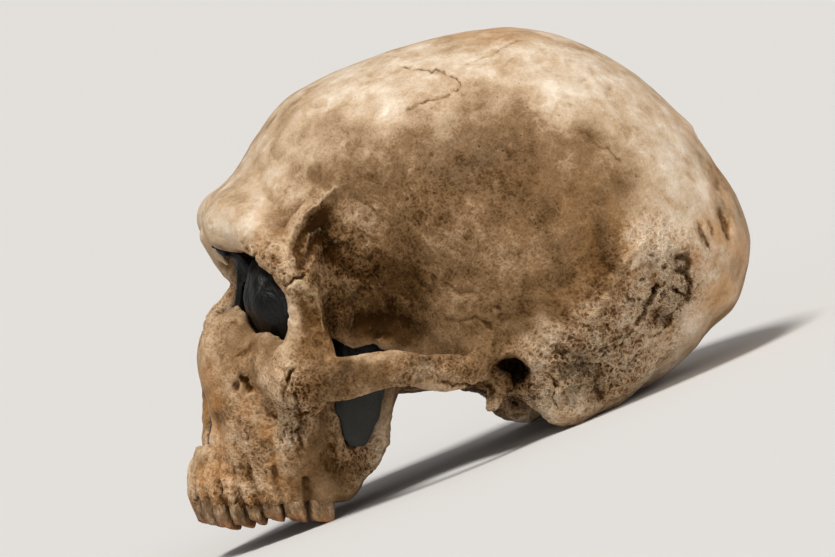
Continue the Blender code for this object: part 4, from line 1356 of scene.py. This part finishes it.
class Shade:
    """A Principled material and short ways to add nodes to it."""

    def __init__(self, name):
        self.material = bpy.data.materials.new(name)
        self.material.use_nodes = True
        self.nodes = self.material.node_tree.nodes
        self.shader = self.nodes["Principled BSDF"]
        self.place = self.nodes.new("ShaderNodeTexCoord").outputs["Object"]

    def put(self, value, socket):
        """Links a socket's value, or sets any other."""
        if isinstance(value, bpy.types.NodeSocket):
            self.material.node_tree.links.new(value, socket)
        elif value is not None:
            socket.default_value = value

    def finish(self, **values):
        """Gives the shader's inputs their values, each named with lines for spaces."""
        for name, value in values.items():
            self.put(value, self.shader.inputs[name.replace("_", " ")])
        return self.material

    def math(self, operation, a, b=None, c=None, clamp=False):
        node = self.nodes.new("ShaderNodeMath")
        node.operation = operation
        node.use_clamp = clamp
        for value, socket in zip((a, b, c), node.inputs):
            self.put(value, socket)
        return node.outputs["Value"]

    def drawn_out(self, share):
        """The place on the object with its height scaled, which draws a pattern out upright."""
        node = self.nodes.new("ShaderNodeVectorMath")
        node.operation = "MULTIPLY"
        self.put(self.place, node.inputs[0])
        self.put((1.0, 1.0, share), node.inputs[1])
        return node.outputs["Vector"]

    def attribute(self, name):
        node = self.nodes.new("ShaderNodeAttribute")
        node.attribute_name = name
        return node.outputs["Fac"]

    def noise_node(self, size, detail, roughness, place):
        node = self.nodes.new("ShaderNodeTexNoise")
        self.put(place or self.place, node.inputs["Vector"])
        self.put(1.0 / (size * MM), node.inputs["Scale"])
        self.put(detail, node.inputs["Detail"])
        self.put(roughness, node.inputs["Roughness"])
        return node

    def noise(self, size, detail=4.0, roughness=0.55, warp=0.0, place=None):
        """Noise about 0.5, with features of one size."""
        node = self.noise_node(size, detail, roughness, place)
        self.put(warp, node.inputs["Distortion"])
        return node.outputs["Fac"]

    def veins(self, size, detail, roughness):
        """Thin bright lines, from 0 to 1, where noise passes its mean."""
        away = self.math("ABSOLUTE", self.math("SUBTRACT", self.noise(size, detail, roughness), 0.5))
        return self.step(away, 0.1, 0.0)

    def rugged(self, size, detail=3.0, roughness=0.6, place=None):
        """Sharp branching ridges with finer ones on them, about 0 in the mean and 0.6 on a ridge."""
        node = self.noise_node(size, detail, roughness, place)
        node.noise_type = "RIDGED_MULTIFRACTAL"
        self.put(1.0, node.inputs["Offset"])
        self.put(1.6, node.inputs["Gain"])
        return self.math("SUBTRACT", node.outputs["Fac"], RUGGED_MEAN)

    def step(self, value, low, high):
        """Rises smoothly from 0 at low to 1 at high."""
        node = self.nodes.new("ShaderNodeMapRange")
        node.interpolation_type = "SMOOTHSTEP"
        self.put(value, node.inputs["Value"])
        self.put(low, node.inputs["From Min"])
        self.put(high, node.inputs["From Max"])
        return node.outputs["Result"]

    def mix(self, amount, a, b, blend="MIX"):
        node = self.nodes.new("ShaderNodeMix")
        node.data_type = "RGBA"
        node.blend_type = blend
        for value, index in ((amount, 0), (a, 6), (b, 7)):
            self.put(value, node.inputs[index])
        return node.outputs[2]

    def ramp(self, value, stops):
        node = self.nodes.new("ShaderNodeValToRGB")
        elements = node.color_ramp.elements
        while len(elements) < len(stops):
            elements.new(0.5)
        for element, (position, colour) in zip(elements, stops):
            element.position = position
            element.color = colour
        self.put(value, node.inputs["Fac"])
        return node.outputs["Color"]

    def bump(self, height, strength, distance, normal=None):
        node = self.nodes.new("ShaderNodeBump")
        self.put(height, node.inputs["Height"])
        self.put(strength, node.inputs["Strength"])
        self.put(distance * MM, node.inputs["Distance"])
        self.put(normal, node.inputs["Normal"])
        return node.outputs["Normal"]

    def spread(self, value, amount, onto):
        """Adds a noise value, centred on 0.5 and scaled, onto another value."""
        return self.math("MULTIPLY_ADD", self.math("SUBTRACT", value, 0.5), amount, onto)


def tint(red, green, blue):
    """A colour as seen on a screen, from 0 to 255, as a shader colour."""
    return tuple((value / 255) ** 2.2 for value in (red, green, blue)) + (1.0,)


# Ramps of colour, from the darkest place to the palest
BONE_COLOURS = (
    (0.0, tint(42, 29, 17)), (0.2, tint(82, 61, 39)), (0.42, tint(130, 102, 72)),
    (0.66, tint(184, 157, 126)), (1.0, tint(228, 214, 194)),
)
FILLER_COLOURS = ((0.38, tint(3, 3, 4)), (0.62, tint(17, 17, 16)), (0.75, tint(42, 42, 40)))
# Stains and tints of the bone
WARM_STAIN = tint(208, 150, 90)
GREY_STAIN = tint(132, 126, 112)
ROUGH_TINT = tint(255, 232, 203)
# Paler raised edges and rims: partly worn bone, partly painted highlight
RAISED_EDGE = tint(206, 178, 140)
PALE_RIM = tint(212, 184, 146)
# The brown of the painted shade in cracks, pits, pores and root grooves
CREVICE_SHADE_BROWN = tint(66, 42, 20)
# Stains of the teeth, and the brown of the painted shade at their sides
WORN_ORANGE = tint(160, 96, 50)
FISSURE_BROWN = tint(60, 40, 22)
GAP_SHADE_BROWN = tint(50, 34, 20)
# The grey end of the panel behind a cheek, and the floor
PANEL_GREY = tint(62, 62, 58)
FLOOR_GREY = tint(205, 204, 202)


def bone_level(s, rough, mottle, grain, lines):
    """How pale the bone is, with its painted light and shade, as a place on its ramp of colours."""
    tone_and_shade = s.attribute("tone_and_shade")
    blotch = s.noise(10, 3, 0.55, warp=0.3)
    fibres = s.noise(1.5, 3, 0.6, place=s.drawn_out(0.3))
    specks = s.step(s.noise(2.2, 3, 0.7), 0.64, 0.72)
    streaks = s.math("MULTIPLY", s.veins(8, 2, 0.6), s.step(s.noise(13, 3), 0.45, 0.6))
    # Painted light and shade come in with the tone, as well as stains
    level = s.math("MULTIPLY_ADD", tone_and_shade, 0.5, 0.5)
    level = s.spread(s.noise(28, 2, 0.5), 0.4, level)
    level = s.spread(blotch, s.math("MULTIPLY_ADD", tone_and_shade, 0.55, 0.47), level)
    level = s.spread(mottle, s.math("MULTIPLY_ADD", rough, 0.3, 0.25), level)
    level = s.spread(grain, s.math("MULTIPLY_ADD", rough, 0.7, 0.34), level)
    level = s.math("MULTIPLY_ADD", specks, -0.16, level)
    level = s.spread(fibres, s.math("MULTIPLY", rough, 0.5), level)
    # Painted light and shade: paler where the relief stands out and the bone swells, darker in its low
    # places and hollows
    level = s.math("MULTIPLY_ADD", s.attribute("height"), 0.1, level)
    level = s.math("MULTIPLY_ADD", s.attribute("swell"), 0.08, level)
    level = s.math("MULTIPLY_ADD", streaks, 0.08, level)
    return s.math("MULTIPLY_ADD", lines, rough, level)


def stained(s, colour, rough):
    """The bone's colour under its warm and grey stains, and warmer where it is rough."""
    warm_spots = s.step(s.noise(14, 4, 0.6, warp=0.4), 0.38, 0.62)
    warm = s.math("MULTIPLY", s.math("MULTIPLY", s.attribute("warmth"), warm_spots), 0.7)
    colour = s.mix(warm, colour, s.mix(0.6, colour, WARM_STAIN))
    grey = s.math("MULTIPLY", s.attribute("grey"), s.step(s.noise(9, 4, 0.6), 0.4, 0.6))
    colour = s.mix(grey, colour, s.mix(0.7, colour, GREY_STAIN))
    return s.mix(s.math("MULTIPLY", rough, 0.6), colour, ROUGH_TINT, blend="MULTIPLY")


def bone_normal(s, rough, mottle, grain, ridges, fine_ridges):
    """Coarse bumps with fine ones on them, both stronger on rough bone."""
    coarse = s.math("MULTIPLY", mottle, s.math("MULTIPLY_ADD", rough, 1.0, 0.5))
    coarse = s.math("MULTIPLY_ADD", ridges, s.math("MULTIPLY", rough, 0.9), coarse)
    fine = s.math("MULTIPLY_ADD", fine_ridges, s.math("MULTIPLY", rough, 0.8), grain)
    return s.bump(fine, s.math("MULTIPLY_ADD", rough, 0.6, 0.45), 0.6, s.bump(coarse, 0.7, 0.9))


def bone_material():
    s = Shade("Fossil bone")
    rough, cut, lip = s.attribute("rough"), s.attribute("cut"), s.attribute("lip")
    mottle = s.noise(4, 3, 0.6)
    grain = s.noise(0.9, 3, 0.8)
    ridges, fine_ridges = s.rugged(6), s.rugged(1.8)
    lines = s.math("MULTIPLY_ADD", ridges, 0.15, s.math("MULTIPLY", fine_ridges, 0.29))
    level = bone_level(s, rough, mottle, grain, lines)
    colour = stained(s, s.ramp(level, BONE_COLOURS), rough)
    # Raised marks on rough bone and the rims of marks painted paler: partly wear, partly painted highlight
    edges = s.math("MULTIPLY", s.step(cut, -0.08, -0.5), s.math("MULTIPLY", s.step(rough, 0.35, 0.8), 0.3))
    colour = s.mix(edges, colour, RAISED_EDGE)
    colour = s.mix(s.math("MULTIPLY", s.step(lip, 0.08, 0.5), 0.5), colour, PALE_RIM)
    # Painted shade: the feet of raised marks, and the cracks, pits, pores and root grooves, darkened to a
    # mottled brown
    foot = s.math("MULTIPLY", s.step(lip, -0.08, -0.6), 0.35)
    mottled_shade = s.math("MULTIPLY_ADD", mottle, 0.8, 0.25)
    crevice_shade = s.math("MULTIPLY_ADD", s.step(cut, 0.12, 0.9), mottled_shade, foot)
    shine = s.math("MULTIPLY", s.math("SUBTRACT", level, 0.2), s.math("SUBTRACT", 0.5, crevice_shade), clamp=True)
    return s.finish(
        Base_Color=s.mix(crevice_shade, colour, CREVICE_SHADE_BROWN),
        Roughness=s.math("MULTIPLY_ADD", mottle, 0.4, 0.34),
        Specular_IOR_Level=shine,
        Normal=bone_normal(s, rough, mottle, grain, ridges, fine_ridges),
    )


def tooth_material():
    s = Shade("Worn tooth")
    upright = s.drawn_out(0.3)
    streaks = s.noise(1.8, 4, 0.65, place=upright)
    ridges = s.rugged(3, place=upright)
    level = s.spread(streaks, 0.4, s.spread(s.noise(5, 3), 0.5, 0.38))
    level = s.spread(s.noise(0.9, 3, 0.8), 0.5, s.math("MULTIPLY_ADD", ridges, 0.15, level))
    colour = s.ramp(level, BONE_COLOURS)
    near_tip = s.step(s.attribute("height"), 0.45, 0.05)
    worn_end = s.math("MULTIPLY", near_tip, s.step(s.noise(4, 3), 0.3, 0.6))
    colour = s.mix(worn_end, colour, s.mix(0.6, colour, WORN_ORANGE))
    fissures = s.step(s.noise(2.0, 3, 0.6, place=upright), 0.43, 0.33)
    colour = s.mix(s.math("MULTIPLY", fissures, 0.4), colour, FISSURE_BROWN)
    # Painted shade at the sides of each tooth, towards the gaps between the teeth
    gap_shade = s.math("MULTIPLY", s.step(s.attribute("aside"), 0.62, 0.95), 0.75)
    return s.finish(
        Base_Color=s.mix(gap_shade, colour, GAP_SHADE_BROWN),
        Roughness=0.45,
        Specular_IOR_Level=0.25,
        Normal=s.bump(s.math("ADD", streaks, ridges), 0.7, 0.6),
    )


def filler_material():
    s = Shade("Dark filler")
    smears = s.noise(5, 4, 0.6, warp=1.0, place=s.drawn_out(0.5))
    greyness = s.attribute("greyness")
    grey = s.math("MULTIPLY", greyness, s.math("MULTIPLY_ADD", smears, 0.8, 0.4))
    dullness = s.math("MULTIPLY_ADD", smears, 0.6, 0.12)
    return s.finish(
        Base_Color=s.mix(grey, s.ramp(smears, FILLER_COLOURS), PANEL_GREY),
        Roughness=s.math("MULTIPLY_ADD", greyness, 0.4, dullness),
        Specular_IOR_Level=0.28,
        Normal=s.bump(smears, 0.9, 1.8),
    )


def floor_material():
    return Shade("Pale floor").finish(Base_Color=FLOOR_GREY, Roughness=0.9, Specular_IOR_Level=0.1)


def level_direction(across, up, towards):
    """A direction of the level side view, as right, up and towards the viewer, in the resting frame."""
    right = Vector((math.cos(SIDE_YAW), -math.sin(SIDE_YAW), 0))
    viewer = Vector((-math.sin(SIDE_YAW), -math.cos(SIDE_YAW), 0))
    direction = right * across + Vector((0, 0, 1)) * up + viewer * towards
    return (level_turn().to_3x3() @ direction).normalized()


def make_floor():
    bpy.ops.mesh.primitive_plane_add(size=FLOOR_SIZE)
    floor = bpy.context.object
    floor.name = "floor"
    floor.data.materials.append(floor_material())


def make_sun(name, direction, strength, width, colour):
    lamp = bpy.data.lights.new(name, "SUN")
    lamp.energy = strength
    lamp.angle = math.radians(width)
    lamp.color = colour
    sun = new_object(name, lamp)
    sun.rotation_mode = "QUATERNION"
    sun.rotation_quaternion = direction.to_track_quat("Z", "Y")


def make_lights():
    make_sun("key light", level_direction(-0.45, 0.85, 0.45), 3.0, 20, (1.0, 0.97, 0.93))
    make_sun("side light", level_direction(0.75, 0.5, 0.35), 0.8, 50, (1.0, 0.98, 0.96))
    make_sun("front light", level_direction(-0.2, 0.1, 1.0), 0.55, 40, (1.0, 0.98, 0.95))
    world = bpy.data.worlds.new("Studio")
    bpy.context.scene.world = world
    world.use_nodes = True
    background = world.node_tree.nodes["Background"]
    background.inputs["Color"].default_value = (0.76, 0.76, 0.77, 1)
    background.inputs["Strength"].default_value = 0.38


def make_camera():
    """A long lens at the left side of the face, rolled with the skull so that it is seen level."""
    camera = new_object("camera", bpy.data.cameras.new("camera"))
    viewer = level_direction(0, 0, 1)
    up = level_direction(0, 1, 0)
    right = level_direction(1, 0, 0)
    centre = level_turn() @ Vector((0, 0, 0)) + (right * CENTRE_ACROSS + up * CENTRE_UP) * MM
    turn = Matrix((right, up, viewer)).transposed().to_4x4()
    camera.matrix_world = Matrix.Translation(centre + viewer * CAMERA_DISTANCE) @ turn
    camera.data.sensor_width = SENSOR_WIDTH
    camera.data.lens = SENSOR_WIDTH * CAMERA_DISTANCE / FRAME_WIDTH
    camera.data.clip_end = SIGHT
    bpy.context.scene.camera = camera


def main():
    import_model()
    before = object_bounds()
    bone = make_bone(bone_material(), before)
    make_teeth(tooth_material(), before)
    make_fillers(bone, filler_material(), before)
    make_floor()
    make_lights()
    make_camera()
    bpy.context.scene.view_settings.view_transform = "Standard"


main()
